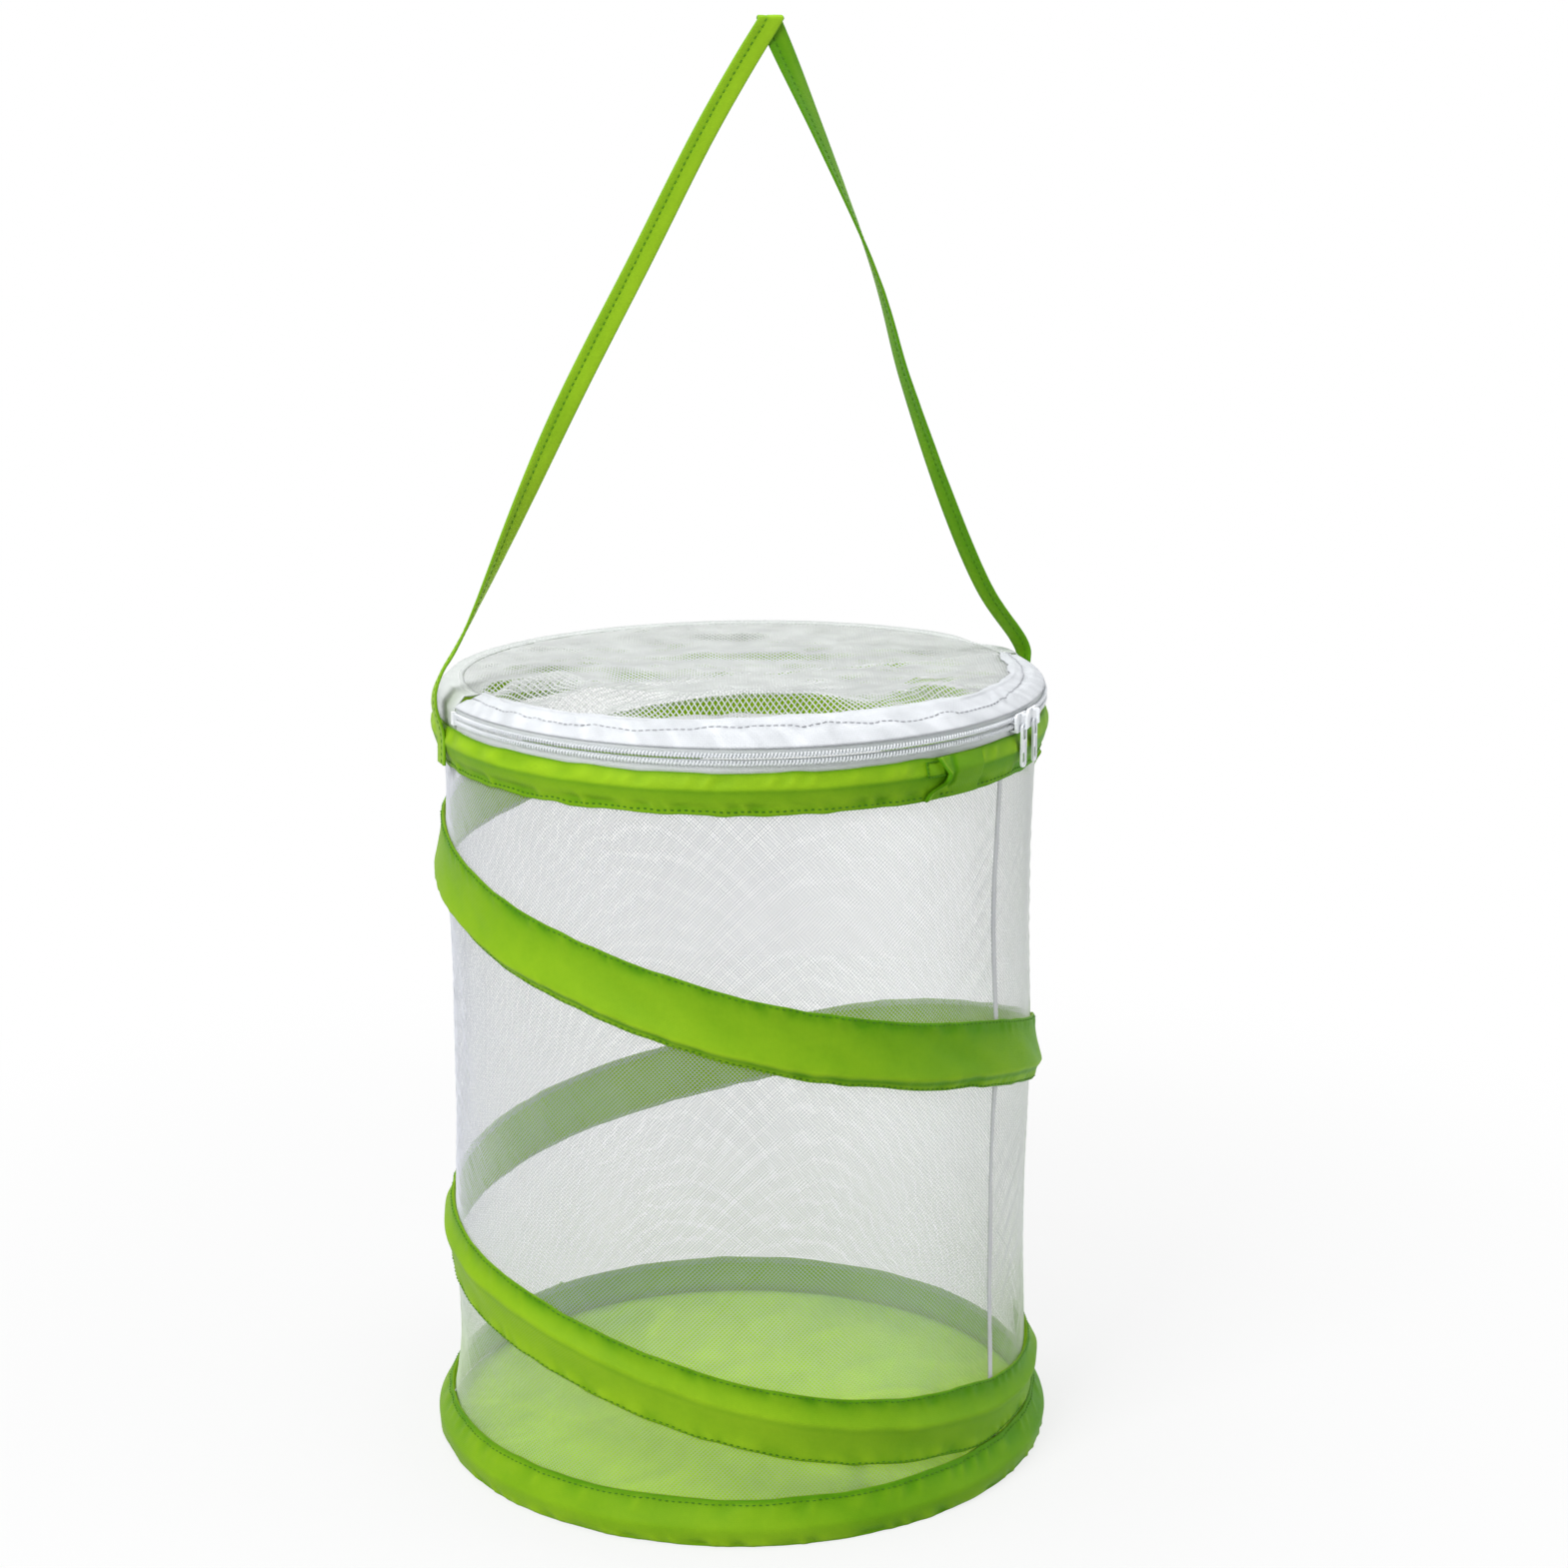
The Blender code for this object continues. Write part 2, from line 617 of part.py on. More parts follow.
def coil_levels(sweep):
    """The coil sleeve's section after a sweep from its start."""
    middle, half = coil_middle(sweep), coil_half_height(sweep)
    wire_height = middle + coil_table(COIL_WIRE_SHARES, sweep) * half
    levels = []
    for height, depth in (
        (middle - half, SEAM_THICKNESS),
        (wire_height, coil_depth(sweep)),
        (middle + half, SEAM_THICKNESS),
    ):
        levels.append((height, wall_radius(height) + SOFT_GAP + depth / 2, depth / 2))
    return levels


def make_coil_casing(material, pivot):
    """The sleeve that winds round the wall from hoop to hoop."""
    over = COIL_SLEEVE_OVERHANG / WALL_RADIUS
    sweeps = steps_between(-over, COIL_SWEEP + over, RING_STEPS * COIL_TURNS)
    outers, inners = [], []
    for sweep in sweeps:
        angle = COIL_START_ANGLE + sweep
        levels = coil_levels(sweep)
        hollow = cavity_levels(levels, coil_depth(sweep) / 2 - CLOTH_THICKNESS)
        outers.append(casing_loop(angle, levels))
        inners.append(casing_loop(angle, hollow))
    return finish_mesh("coil_casing", sleeve(outers, inners), material, pivot)


def print_coil_gap(points):
    """Print the least gap between the coil's turns, measured between points half a turn apart or more."""
    apart = RING_STEPS // 2
    pairs = ((a, b) for i, a in enumerate(points) for b in points[i + apart:])
    gap = min((a - b).length for a, b in pairs) - 2 * WIRE_RADIUS
    print("least gap between the coil's turns in metres:", round(gap, 5))


def make_coil_wire(material, pivot):
    """The sprung coil itself."""
    sweeps = steps_between(0.0, COIL_SWEEP, RING_STEPS * COIL_TURNS)
    points = [coil_wire_point(s) for s in sweeps]
    print_coil_gap(points)
    return make_wire("coil_wire", points, material, pivot)


def make_coil_cap(name, sweep, inward_sweep, material, pivot):
    """The plastic cap on one end of the coil: a cup whose blind end faces outward."""
    tip = coil_wire_point(sweep)
    inner = coil_wire_point(inward_sweep)
    axis = (tip - inner).normalized()
    side = axis.cross(Vector((0, 0, 1))).normalized()
    rise = side.cross(axis)
    frame = Matrix((axis, side, rise)).transposed().to_4x4()
    frame.translation = tip
    depth = CAP_LENGTH - CAP_WALL
    shape = loft([
        round_loop(frame, FERRULE_BORE_RADIUS, WIRE_GAP),
        round_loop(frame, FERRULE_BORE_RADIUS, WIRE_GAP - depth),
        round_loop(frame, CAP_RADIUS, WIRE_GAP - depth),
        round_loop(frame, CAP_RADIUS, WIRE_GAP + CAP_WALL),
    ])
    return finish_mesh(name, shape, material, pivot)


def front_arc(inset, steps):
    """Angles round the front from the left end of the zip to its right end, less an inset."""
    trim = ZIP_END_ANGLE + inset / CHAIN_RADIUS
    return steps_between(-math.pi + trim, -trim, steps)


def arc_strip(name, outline_at, angles, material, pivot):
    """A strip round the ring, whose outline at each angle is a list of (radius, height)."""
    sections = [[polar(r, a, h) for r, h in outline_at(a)] for a in angles]
    return finish_mesh(name, loft(sections), material, pivot)


def rim_height(angle):
    """Height of the rim of the net top, a little higher at the front."""
    return RIM_HEIGHT - RIM_RISE * math.sin(angle)


def thick_outline(profile, thickness):
    """A closed outline along a profile, thickened to its left side."""
    places = [Vector(p) for p in profile]
    offset = []
    for i, place in enumerate(places):
        ahead = places[min(i + 1, len(places) - 1)] - places[max(i - 1, 0)]
        normal = Vector((-ahead.y, ahead.x)).normalized()
        offset.append(place + normal * thickness)
    return [tuple(p) for p in places] + [tuple(p) for p in reversed(offset)]


def lower_tape_outline(angle):
    """The zip's lower tape, which stands on the top sleeve's edge."""
    head = LOWER_TAPE_FOOT + LOWER_TAPE_HEIGHT
    return [
        (TAPE_RADIUS, LOWER_TAPE_FOOT), (TAPE_FACE, LOWER_TAPE_FOOT),
        (TAPE_FACE, head), (TAPE_RADIUS, head),
    ]


def chain_outline(foot):
    """Half of the zip's chain: a rounded bar on the outside of its tape."""
    inner = TAPE_FACE + SEAT_GAP
    middle = foot + COIL_HALF_HEIGHT / 2
    corner = COIL_HALF_HEIGHT / 4
    return [
        (inner, foot), (CHAIN_RADIUS, foot), (CHAIN_FACE, foot + corner),
        (CHAIN_FACE, middle + corner), (CHAIN_RADIUS, foot + COIL_HALF_HEIGHT),
        (inner, foot + COIL_HALF_HEIGHT),
    ]


def lower_chain_outline(angle):
    """The chain half that stays on the hoop."""
    return chain_outline(CHAIN_HEIGHT - CHAIN_HALF_WIDTH)


def upper_chain_outline(angle):
    """The chain half that opens with the flap."""
    return chain_outline(CHAIN_HEIGHT + CHAIN_SLOT / 2)


def upper_tape_lean(angle):
    """Where the upper tape ends, leaning in over the cage."""
    radius = mix(TAPE_RADIUS, RIM_RADIUS, TAPE_LEAN_SHARE)
    height = mix(SHOULDER_BEND_HEIGHT, rim_height(angle), TAPE_LEAN_SHARE)
    return radius, height


def upper_tape_outline(angle):
    """The zip's upper tape: upright behind the chain, then leaning in."""
    profile = [
        upper_tape_lean(angle),
        (TAPE_RADIUS, SHOULDER_BEND_HEIGHT),
        (TAPE_RADIUS, CHAIN_HEIGHT + CHAIN_SLOT / 2),
    ]
    return thick_outline(profile, TAPE_THICKNESS)


def binding_outline(angle):
    """The flap's binding, from the tape's edge to the net."""
    radius, height = upper_tape_lean(angle)
    profile = [
        (RIM_RADIUS, rim_height(angle) - BINDING_THICKNESS / 2),
        (radius - BINDING_THICKNESS / 2, height - SEAT_GAP),
    ]
    return thick_outline(profile, BINDING_THICKNESS)


def panel_tape_outline(angle):
    """The tape of the fixed back half, from the top sleeve to the net."""
    rim = rim_height(angle)
    bend = mix(LOWER_TAPE_FOOT, rim, TAPE_LEAN_SHARE)
    lean = mix(LOWER_TAPE_FOOT, rim, 2 * TAPE_LEAN_SHARE)
    profile = [
        (RIM_RADIUS, rim - PANEL_TAPE_THICKNESS / 2),
        (mix(TAPE_RADIUS, RIM_RADIUS, TAPE_LEAN_SHARE), lean),
        (TAPE_RADIUS, bend),
        (TAPE_RADIUS, LOWER_TAPE_FOOT),
    ]
    return thick_outline(profile, PANEL_TAPE_THICKNESS)


def make_zip(materials, pivots):
    """The zip's two tapes, its two chain halves and the stops at its ends."""
    tape = front_arc(0.0, RING_STEPS)
    chain = front_arc(STOP_LENGTH + 2 * SEAT_GAP, RING_STEPS)
    arc_strip("zip_tape_lower", lower_tape_outline, tape, materials["white"], pivots["top"])
    arc_strip("zip_coil_lower", lower_chain_outline, chain, materials["zip"], pivots["top"])
    flap_tape = front_arc(2 * SEAT_GAP, RING_STEPS)
    arc_strip("zip_tape_upper", upper_tape_outline, flap_tape, materials["white"], pivots["flap"])
    arc_strip("zip_coil_upper", upper_chain_outline, chain, materials["zip"], pivots["flap"])
    trims = {"left": -math.pi + ZIP_END_ANGLE, "right": -ZIP_END_ANGLE - STOP_LENGTH / CHAIN_RADIUS}
    for side, start in trims.items():
        angles = steps_between(start, start + STOP_LENGTH / CHAIN_RADIUS, 1)
        low, high = CHAIN_HEIGHT - CHAIN_HALF_WIDTH, CHAIN_HEIGHT + CHAIN_HALF_WIDTH

        def stop_outline(angle, low=low, high=high):
            inner = TAPE_FACE + SEAT_GAP
            return [(inner, low), (CHAIN_FACE, low), (CHAIN_FACE, high), (inner, high)]

        arc_strip("zip_stop_" + side, stop_outline, angles, materials["zip"], pivots["top"])


def make_top_edges(materials, pivots):
    """The flap's binding and the back panel's tape."""
    inner_trim = math.asin((FOLD_OFFSET + SEAT_GAP) / RIM_RADIUS)
    flap_angles = steps_between(-math.pi + inner_trim, -inner_trim, RING_STEPS // 2)
    arc_strip("flap_binding", binding_outline, flap_angles, materials["white"], pivots["flap"])
    panel_trim = math.asin((FOLD_OFFSET - SEAT_GAP) / (TAPE_FACE + PANEL_TAPE_THICKNESS))
    panel_angles = steps_between(-panel_trim, math.pi + panel_trim, RING_STEPS // 2)
    arc_strip("top_panel_tape", panel_tape_outline, panel_angles, materials["white"], pivots["top"])


def half_disc(start_angle, end_angle):
    """The outline of the part of the net top between two angles, in X and Y."""
    angles = steps_between(start_angle, end_angle, RING_STEPS // 2)
    return [(NET_RADIUS * math.cos(a), NET_RADIUS * math.sin(a)) for a in angles]


def net_hole_places(radius, low_y, high_y):
    """Middles of the square holes that lie wholly on a net, on a grid turned by 45 degrees."""
    pitch = TOP_NET_PITCH * math.sqrt(1 / 2)
    reach = TOP_NET_PITCH * math.sqrt(1 / 2) - TOP_NET_STRAND * math.sqrt(1 / 2)
    count = int(radius / pitch) + 1
    places = []
    for i in range(-count, count + 1):
        for j in range(-count, count + 1):
            if (i + j) % 2:
                continue
            x, y = i * pitch, j * pitch
            corners = ((x - reach, y), (x + reach, y), (x, y - reach), (x, y + reach))
            inside = all(math.hypot(*c) < radius - TOP_NET_MARGIN for c in corners)
            beyond = low_y + TOP_NET_MARGIN < y - reach and y + reach < high_y - TOP_NET_MARGIN
            if inside and beyond:
                places.append((x, y, reach))
    return places


def make_net_panel(name, outline, low_y, high_y, material, pivot):
    """Half of the net top: a thin plate with a grid of square holes, laid on the rim's slope."""
    tilt = Matrix.Translation((0, 0, RIM_HEIGHT)) @ Matrix.Rotation(-RIM_SLOPE, 4, "X")
    half = NET_THICKNESS / 2
    plate = loft([[tilt @ Vector((x, y, z)) for x, y in outline] for z in (-half, half)])
    item = finish_mesh(name, plate, material, pivot)
    holes = bmesh.new()
    for x, y, reach in net_hole_places(NET_RADIUS, low_y, high_y):
        place = tilt @ Matrix.Translation((x, y, 0)) @ Matrix.Rotation(math.pi / 4, 4, "Z")
        side = reach * math.sqrt(2)
        size = Matrix.Diagonal((side, side, NET_THICKNESS + CUT_OVERRUN, 1))
        bmesh.ops.create_cube(holes, size=1.0, matrix=place @ size)
    add_boolean(item, add_cutter(name + "_holes", holes, pivot), "DIFFERENCE")
    return item


def make_net_top(materials, pivots):
    """The two halves of the net top, either side of the flap's fold."""
    flap_edge = FOLD_OFFSET + SEAT_GAP
    trim = math.asin(flap_edge / NET_RADIUS)
    outline = half_disc(-math.pi + trim, -trim)
    make_net_panel("flap_mesh", outline, -NET_RADIUS, -flap_edge, materials["net"], pivots["flap"])
    panel_edge = FOLD_OFFSET - SEAT_GAP
    trim = math.asin(panel_edge / NET_RADIUS)
    outline = half_disc(-trim, math.pi + trim)
    make_net_panel(
        "top_panel_mesh", outline, -panel_edge, NET_RADIUS, materials["net"], pivots["top"]
    )


def slider_angles():
    """Where the two sliders stand, head to head."""
    half = SLIDER_SPACING / CHAIN_RADIUS / 2
    return {"left": MEETING_ANGLE - half, "right": MEETING_ANGLE + half}


def slider_section():
    """The slider's section: two plates, the web between the chain halves and a lower flange."""
    low, high = CHAIN_HEIGHT - SLIDER_DROP, CHAIN_HEIGHT + SLIDER_RISE
    web_low, web_high = CHAIN_HEIGHT - SLIDER_WEB / 2, CHAIN_HEIGHT + SLIDER_WEB / 2
    outer, outer_back = SLIDER_OUTER_FACE, SLIDER_OUTER_FACE - SLIDER_PLATE
    inner, inner_back = SLIDER_INNER_FACE, SLIDER_INNER_FACE + SLIDER_PLATE
    hook = TAPE_FACE + SLIDER_GAP
    return [
        (hook, low), (outer, low), (outer, high), (outer_back, high), (outer_back, web_high),
        (inner_back, web_high), (inner_back, high), (inner, high), (inner, low), (inner_back, low),
        (inner_back, web_low), (outer_back, web_low), (outer_back, low + SLIDER_FLANGE),
        (hook, low + SLIDER_FLANGE),
    ]


def bridge_section():
    """The slider's bridge: a staple that stands out from its outer plate."""
    low, high = CHAIN_HEIGHT - BRIDGE_DROP, CHAIN_HEIGHT + BRIDGE_RISE
    foot = SLIDER_OUTER_FACE - SLIDER_PLATE / 2
    crown = BRIDGE_INNER_FACE + BRIDGE_BAR
    return [
        (foot, low), (crown - BRIDGE_CORNER, low), (crown, low + BRIDGE_CORNER),
        (crown, high - BRIDGE_CORNER), (crown - BRIDGE_CORNER, high), (foot, high),
        (foot, high - BRIDGE_BAR), (BRIDGE_INNER_FACE, high - BRIDGE_BAR),
        (BRIDGE_INNER_FACE, low + BRIDGE_BAR), (foot, low + BRIDGE_BAR),
    ]


def section_prism(section, angle, half_length):
    """A (radius, height) section carried along the ring's tangent at an angle."""
    turn = Matrix.Rotation(angle, 4, "Z")
    loops = []
    for along in (-half_length, half_length):
        loops.append([turn @ Vector((radius, along, height)) for radius, height in section])
    return loft(loops)


def slider_outline(nose):
    """The plates' outline seen from outside: broad at the nose, tapered to the tail."""
    half = SLIDER_LENGTH / 2
    low, high = -SLIDER_DROP - CUT_OVERRUN, SLIDER_RISE + CUT_OVERRUN
    tail_low, tail_high = -SLIDER_DROP * SLIDER_NOSE_SHARE, SLIDER_RISE * SLIDER_NOSE_SHARE
    points = [
        (-half, tail_low), (-half * SLIDER_NOSE_SHARE, low), (half * SLIDER_NOSE_SHARE, low),
        (half, tail_low), (half, tail_high), (half * SLIDER_NOSE_SHARE, high),
        (-half * SLIDER_NOSE_SHARE, high), (-half, tail_high),
    ]
    return [(x * nose, z) for x, z in points]


def make_slider(side, angle, nose, material, pivot):
    """One zip slider, which rides in the slot between the chain halves."""
    body = section_prism(slider_section(), angle, SLIDER_LENGTH / 2)
    item = finish_mesh("zip_slider_" + side, body, material, pivot)
    frame = station_frame(angle, CHAIN_RADIUS, CHAIN_HEIGHT)
    reach = SLIDER_OUTER_FACE - SLIDER_INNER_FACE
    trim = prism(slider_outline(nose), frame, -reach, reach)
    add_boolean(item, add_cutter("slider_trim_" + side, trim, pivot), "INTERSECT")
    bridge = section_prism(bridge_section(), angle, BRIDGE_WIDTH / 2)
    add_boolean(item, add_cutter("slider_bridge_" + side, bridge, pivot), "UNION")
    return item


def rounded_box(half_width, low, high, corner):
    """An upright box outline with cut corners."""
    return [
        (-half_width + corner, low), (half_width - corner, low), (half_width, low + corner),
        (half_width, high - corner), (half_width - corner, high), (-half_width + corner, high),
        (-half_width, high - corner), (-half_width, low + corner),
    ]


def make_pull(side, angle, material, pivot):
    """A slider's pull: a loop through the bridge, and a railed grip with a slot."""
    frame = station_frame(angle, PULL_AXIS_RADIUS, PULL_AXIS_HEIGHT)
    half = PULL_THICKNESS / 2
    top = PULL_BAR / 2
    outline = rounded_box(PULL_WIDTH / 2, top - PULL_LENGTH, top, PULL_CORNER)
    item = finish_mesh("pull_tab_" + side, prism(outline, frame, -half, half), material, pivot)
    cut = PULL_THICKNESS
    loop_low = -PULL_BAR / 2 - PULL_LOOP_LENGTH
    loop = rounded_box(PULL_LOOP_WIDTH / 2, loop_low, -PULL_BAR / 2, PULL_BAR / 3)
    add_boolean(
        item, add_cutter("pull_loop_" + side, prism(loop, frame, -cut, cut), pivot), "DIFFERENCE"
    )
    slot_low = top - PULL_LENGTH + PULL_SLOT_RISE
    slot = rounded_box(
        PULL_SLOT_WIDTH / 2, slot_low, slot_low + PULL_SLOT_LENGTH, PULL_SLOT_WIDTH / 4
    )
    add_boolean(
        item, add_cutter("pull_slot_" + side, prism(slot, frame, -cut, cut), pivot), "DIFFERENCE"
    )
    grip_low, grip_high = top - PULL_LENGTH + PULL_RAIL, loop_low - PULL_RAIL
    grip = rounded_box(PULL_WIDTH / 2 - PULL_RAIL, grip_low, grip_high, PULL_RAIL)
    floor = half - PULL_RECESS
    for face, low, high in (("outer", floor, cut), ("inner", -cut, -floor)):
        recess = add_cutter("pull_" + face + "_" + side, prism(grip, frame, low, high), pivot)
        add_boolean(item, recess, "DIFFERENCE")
    return item


def leg_route(shares, turns, side, place):
    """Middle and turn of one leg of the strap at a place along its table."""
    x = side * STRAP_REACH * smooth_value([s[0] for s in shares], place)
    height = TOP_HOOP_HEIGHT + STRAP_RISE * smooth_value([s[1] for s in shares], place)
    return Vector((x, 0, height)), math.radians(smooth_value(turns, place))


def leg_sections(shares, turns, side):
    """Sections of one leg, from its tail to the fold."""
    last = len(shares) - 1
    fold_offset = STRAP_THICKNESS / 2 + STRAP_FOLD_GAP
    step = 1 / LEG_STEPS
    sections = []
    for i in range(LEG_STEPS + 1):
        place = last * i / LEG_STEPS
        middle, turn = leg_route(shares, turns, side, place)
        ahead = leg_route(shares, turns, side, place + step)[0]
        behind = leg_route(shares, turns, side, place - step)[0]
        along = (ahead - behind).normalized()
        across = Vector((along.z, 0, -along.x))
        width = Vector((0, 1, 0)) * math.cos(turn) + across * math.sin(turn)
        near_fold = ease((place - last + 1) * 2 - 1)
        width = mix(width, Vector((1 / along.z, 0, 0)), near_fold)
        face = width.cross(along).normalized()
        middle = middle + Vector((0, side * fold_offset, 0)) * near_fold
        half_width = width * (STRAP_WIDTH / 2)
        half_thick = face * (STRAP_THICKNESS / 2)
        sections.append([
            middle - half_width - half_thick, middle + half_width - half_thick,
            middle + half_width + half_thick, middle - half_width + half_thick,
        ])
    return sections


def make_strap(material, pivot):
    """The carry strap: two legs and the sharp fold where it hangs."""
    left = leg_sections(LEFT_LEG_SHARES, LEFT_LEG_TURNS, -1)
    right = leg_sections(RIGHT_LEG_SHARES, RIGHT_LEG_TURNS, 1)
    turned = [[s[3], s[2], s[1], s[0]] for s in reversed(right)]
    sections = left + fold_sections(left[-1], turned[0]) + turned
    return finish_mesh("handle_strap", loft(sections), material, pivot)


def fold_sections(left_top, right_top):
    """The half turn over the top of the strap, from one leg's last section to the other's."""
    sections = []
    for i in range(1, FOLD_STEPS):
        share = i / FOLD_STEPS
        angle = math.pi * share
        section = []
        for a, b in zip(left_top, right_top):
            flat = mix(a, b, share)
            reach = abs(a.y)
            rise = flat.z + reach * math.sin(angle)
            section.append(Vector((flat.x, -reach * math.cos(angle), rise)))
        sections.append(section)
    return sections


def main():
    """Build every piece of the cage."""
    clear_scene()
    materials = make_materials()
    pivots = make_pivots()
    green, steel = materials["green"], materials["steel"]
    make_floor(green, pivots["base"])
    hoops = (
        ("bottom", bottom_levels(), BOTTOM_JOIN_ANGLE, pivots["base"]),
        ("top", top_levels(), TOP_JOIN_ANGLE, pivots["top"]),
    )
    for name, levels, angle, pivot in hoops:
        height, radius = levels[1][:2]
        make_casing(name + "_casing", levels, angle, green, pivot)
        make_casing_join(name + "_casing_join", levels, angle, green, pivot)
        make_hoop_wire(name + "_hoop_wire", radius, height, angle, steel, pivot)
        make_ferrule(name + "_hoop_ferrule", radius, height, angle, steel, pivot)
    make_wall(materials["net"], pivots["base"])
    make_wall_seam(materials["white"], pivots["base"])
    make_coil_casing(green, pivots["base"])
    make_coil_wire(steel, pivots["base"])
    inward = CAP_LENGTH / WALL_RADIUS
    make_coil_cap("coil_wire_cap_upper", 0.0, inward, materials["cap"], pivots["top"])
    make_coil_cap(
        "coil_wire_cap_lower", COIL_SWEEP, COIL_SWEEP - inward, materials["cap"], pivots["base"]
    )
    make_zip(materials, pivots)
    make_top_edges(materials, pivots)
    make_net_top(materials, pivots)
    for side, angle in slider_angles().items():
        nose = 1 if side == "left" else -1
        make_slider(side, angle, nose, materials["zip"], pivots["slider_" + side])
        make_pull(side, angle, materials["zip"], pivots["pull_" + side])
    make_strap(green, pivots["strap"])
    bpy.context.view_layer.update()


main()
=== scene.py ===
"""Dresses the pop-up insect cage: thread-by-thread nets, sewn nylon sleeves over the sprung
hoops and coil, a zipped rim with two sliders, a crumpled cloth floor and the carry strap."""
import math

import bpy
import numpy as np
from mathutils import Matrix, Vector


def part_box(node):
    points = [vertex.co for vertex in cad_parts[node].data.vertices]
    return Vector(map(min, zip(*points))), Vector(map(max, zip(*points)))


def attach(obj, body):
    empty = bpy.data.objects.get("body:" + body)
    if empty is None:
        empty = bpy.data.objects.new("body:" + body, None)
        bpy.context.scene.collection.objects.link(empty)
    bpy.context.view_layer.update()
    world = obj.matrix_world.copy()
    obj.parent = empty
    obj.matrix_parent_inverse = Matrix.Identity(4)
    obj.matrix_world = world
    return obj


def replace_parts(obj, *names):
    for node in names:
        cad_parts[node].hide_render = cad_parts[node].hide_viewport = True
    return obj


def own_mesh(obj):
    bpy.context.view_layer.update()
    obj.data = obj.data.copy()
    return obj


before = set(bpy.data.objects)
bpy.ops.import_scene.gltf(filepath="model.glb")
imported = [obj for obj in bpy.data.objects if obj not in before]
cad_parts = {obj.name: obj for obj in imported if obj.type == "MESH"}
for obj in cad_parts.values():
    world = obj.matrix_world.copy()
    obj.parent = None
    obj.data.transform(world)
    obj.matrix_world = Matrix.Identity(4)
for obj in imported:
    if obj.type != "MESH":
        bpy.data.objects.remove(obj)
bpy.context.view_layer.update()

bl_info = {
    "name": "Insect cage dresser",
    "version": (1, 0, 0),
    "blender": (4, 5, 0),
    "location": "3D View > Sidebar > Cage",
    "description": "Models the cloth, net, zip and strap of a pop-up insect cage",
    "category": "Object",
}

# Lengths are in metres, and angles in radians where a name or a comment doesn't say degrees
FULL_TURN = 2 * math.pi

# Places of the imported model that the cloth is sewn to
WALL_RADIUS = 0.136
WALL_ROUND = FULL_TURN * WALL_RADIUS
WALL_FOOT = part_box("wall_mesh")[0][2]
WALL_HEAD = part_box("wall_mesh")[1][2]
FOOT_RADIUS = 0.14105
FLARE_HEIGHT = 0.040
HOOP_HEIGHT = 0.342
BASE_BAND_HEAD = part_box("bottom_casing")[1][2]
BAND_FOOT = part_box("top_casing")[0][2]
BAND_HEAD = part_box("top_casing")[1][2]
TAPE_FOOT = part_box("zip_tape_lower")[0][2]
TAPE_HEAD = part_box("zip_tape_lower")[1][2]
TAPE_RADIUS = 0.13785
SHOULDER_HEIGHT = 0.3617
RIM_RADIUS = TAPE_RADIUS - 0.0115
RIM_HEIGHT = 0.366
RIM_RISE = 0.004
FOLD_LINE = -0.012

# The side of the cage on which the greens are painted deepest, as painted shade away from the light
RIGHT_SIDE = math.radians(-20)

# How far the sleeves lap over the net's cut edges and stand off the wall, and where the end of
# each hoop's sleeve is tucked in
SLEEVE_LAP = 0.0025
SLEEVE_OFF = 0.0006
BAND_JOIN_ANGLE = math.radians(-72)
BASE_JOIN_ANGLE = math.radians(112)

# Sections of the hoops' sleeves from foot to head, as (height, radius of the back, depth), and
# the painted light and shade of each sleeve from foot to head, painted shade towards its hems and
# painted light on the cloth between them
BASE_LEVELS = (
    (0.0, 0.1427, 0.0014), (0.0016, 0.1426, 0.0022), (0.0046, 0.1419, 0.0038),
    (0.0088, 0.14165, 0.0043), (0.0125, 0.1407, 0.0034), (0.0170, 0.1396, 0.0020),
    (0.0205, 0.1389, 0.0010),
)
BASE_PAINTED_SHADING = (0.42, 0.60, 0.62, 0.58, 0.54, 0.50, 0.46, 0.34, 0.0)
BAND_FACE = WALL_RADIUS + SLEEVE_OFF
BAND_LEVELS = (
    (BAND_FOOT - 0.0006, BAND_FACE, 0.0011), (BAND_FOOT + 0.0030, BAND_FACE, 0.0016),
    (HOOP_HEIGHT - 0.0032, BAND_FACE, 0.0032), (HOOP_HEIGHT + 0.0002, BAND_FACE, 0.0043),
    (HOOP_HEIGHT + 0.0026, BAND_FACE, 0.0049), (HOOP_HEIGHT + 0.0058, BAND_FACE + 0.0007, 0.0034),
    (BAND_HEAD + 0.0002, BAND_FACE + 0.0014, 0.0013),
)
BAND_PAINTED_SHADING = (
    0.28, 0.46, 0.42, 0.50, 0.54, 0.56, 0.54, 0.50, 0.44,
    0.34, 0.46, 0.78, 0.84, 0.82, 0.78, 0.62, 0.22,
)

# Share of each stitch of the sleeves that is the gap after it
STITCH_GAP = 0.34

# The wall's upright seam: its place, half of the width that shows, and its stitches
SEAM_ANGLE = math.radians(-53)
SEAM_HALF = 0.0017
SEAM_PITCH = 0.0028
SEAM_THREAD = 0.00016

# Gap between each half of the net top and the line on which the flap folds
FOLD_GAP = 0.0003

# The zip's chain: its middle height, radius of its yarn, its inner and outer reach, the radius
# on which its windings are counted, the length of one winding, how far its ends stop short of
# the fold, and how far its halves are drawn together
CHAIN_HEIGHT = TAPE_HEAD + 0.00055
CHAIN_YARN = 0.00032
CHAIN_REACH = (0.1388, 0.14050)
CHAIN_RADIUS = 0.1396
CHAIN_PITCH = 0.00155
CHAIN_TRIM = 0.0040
CHAIN_CLOSE = 0.00022
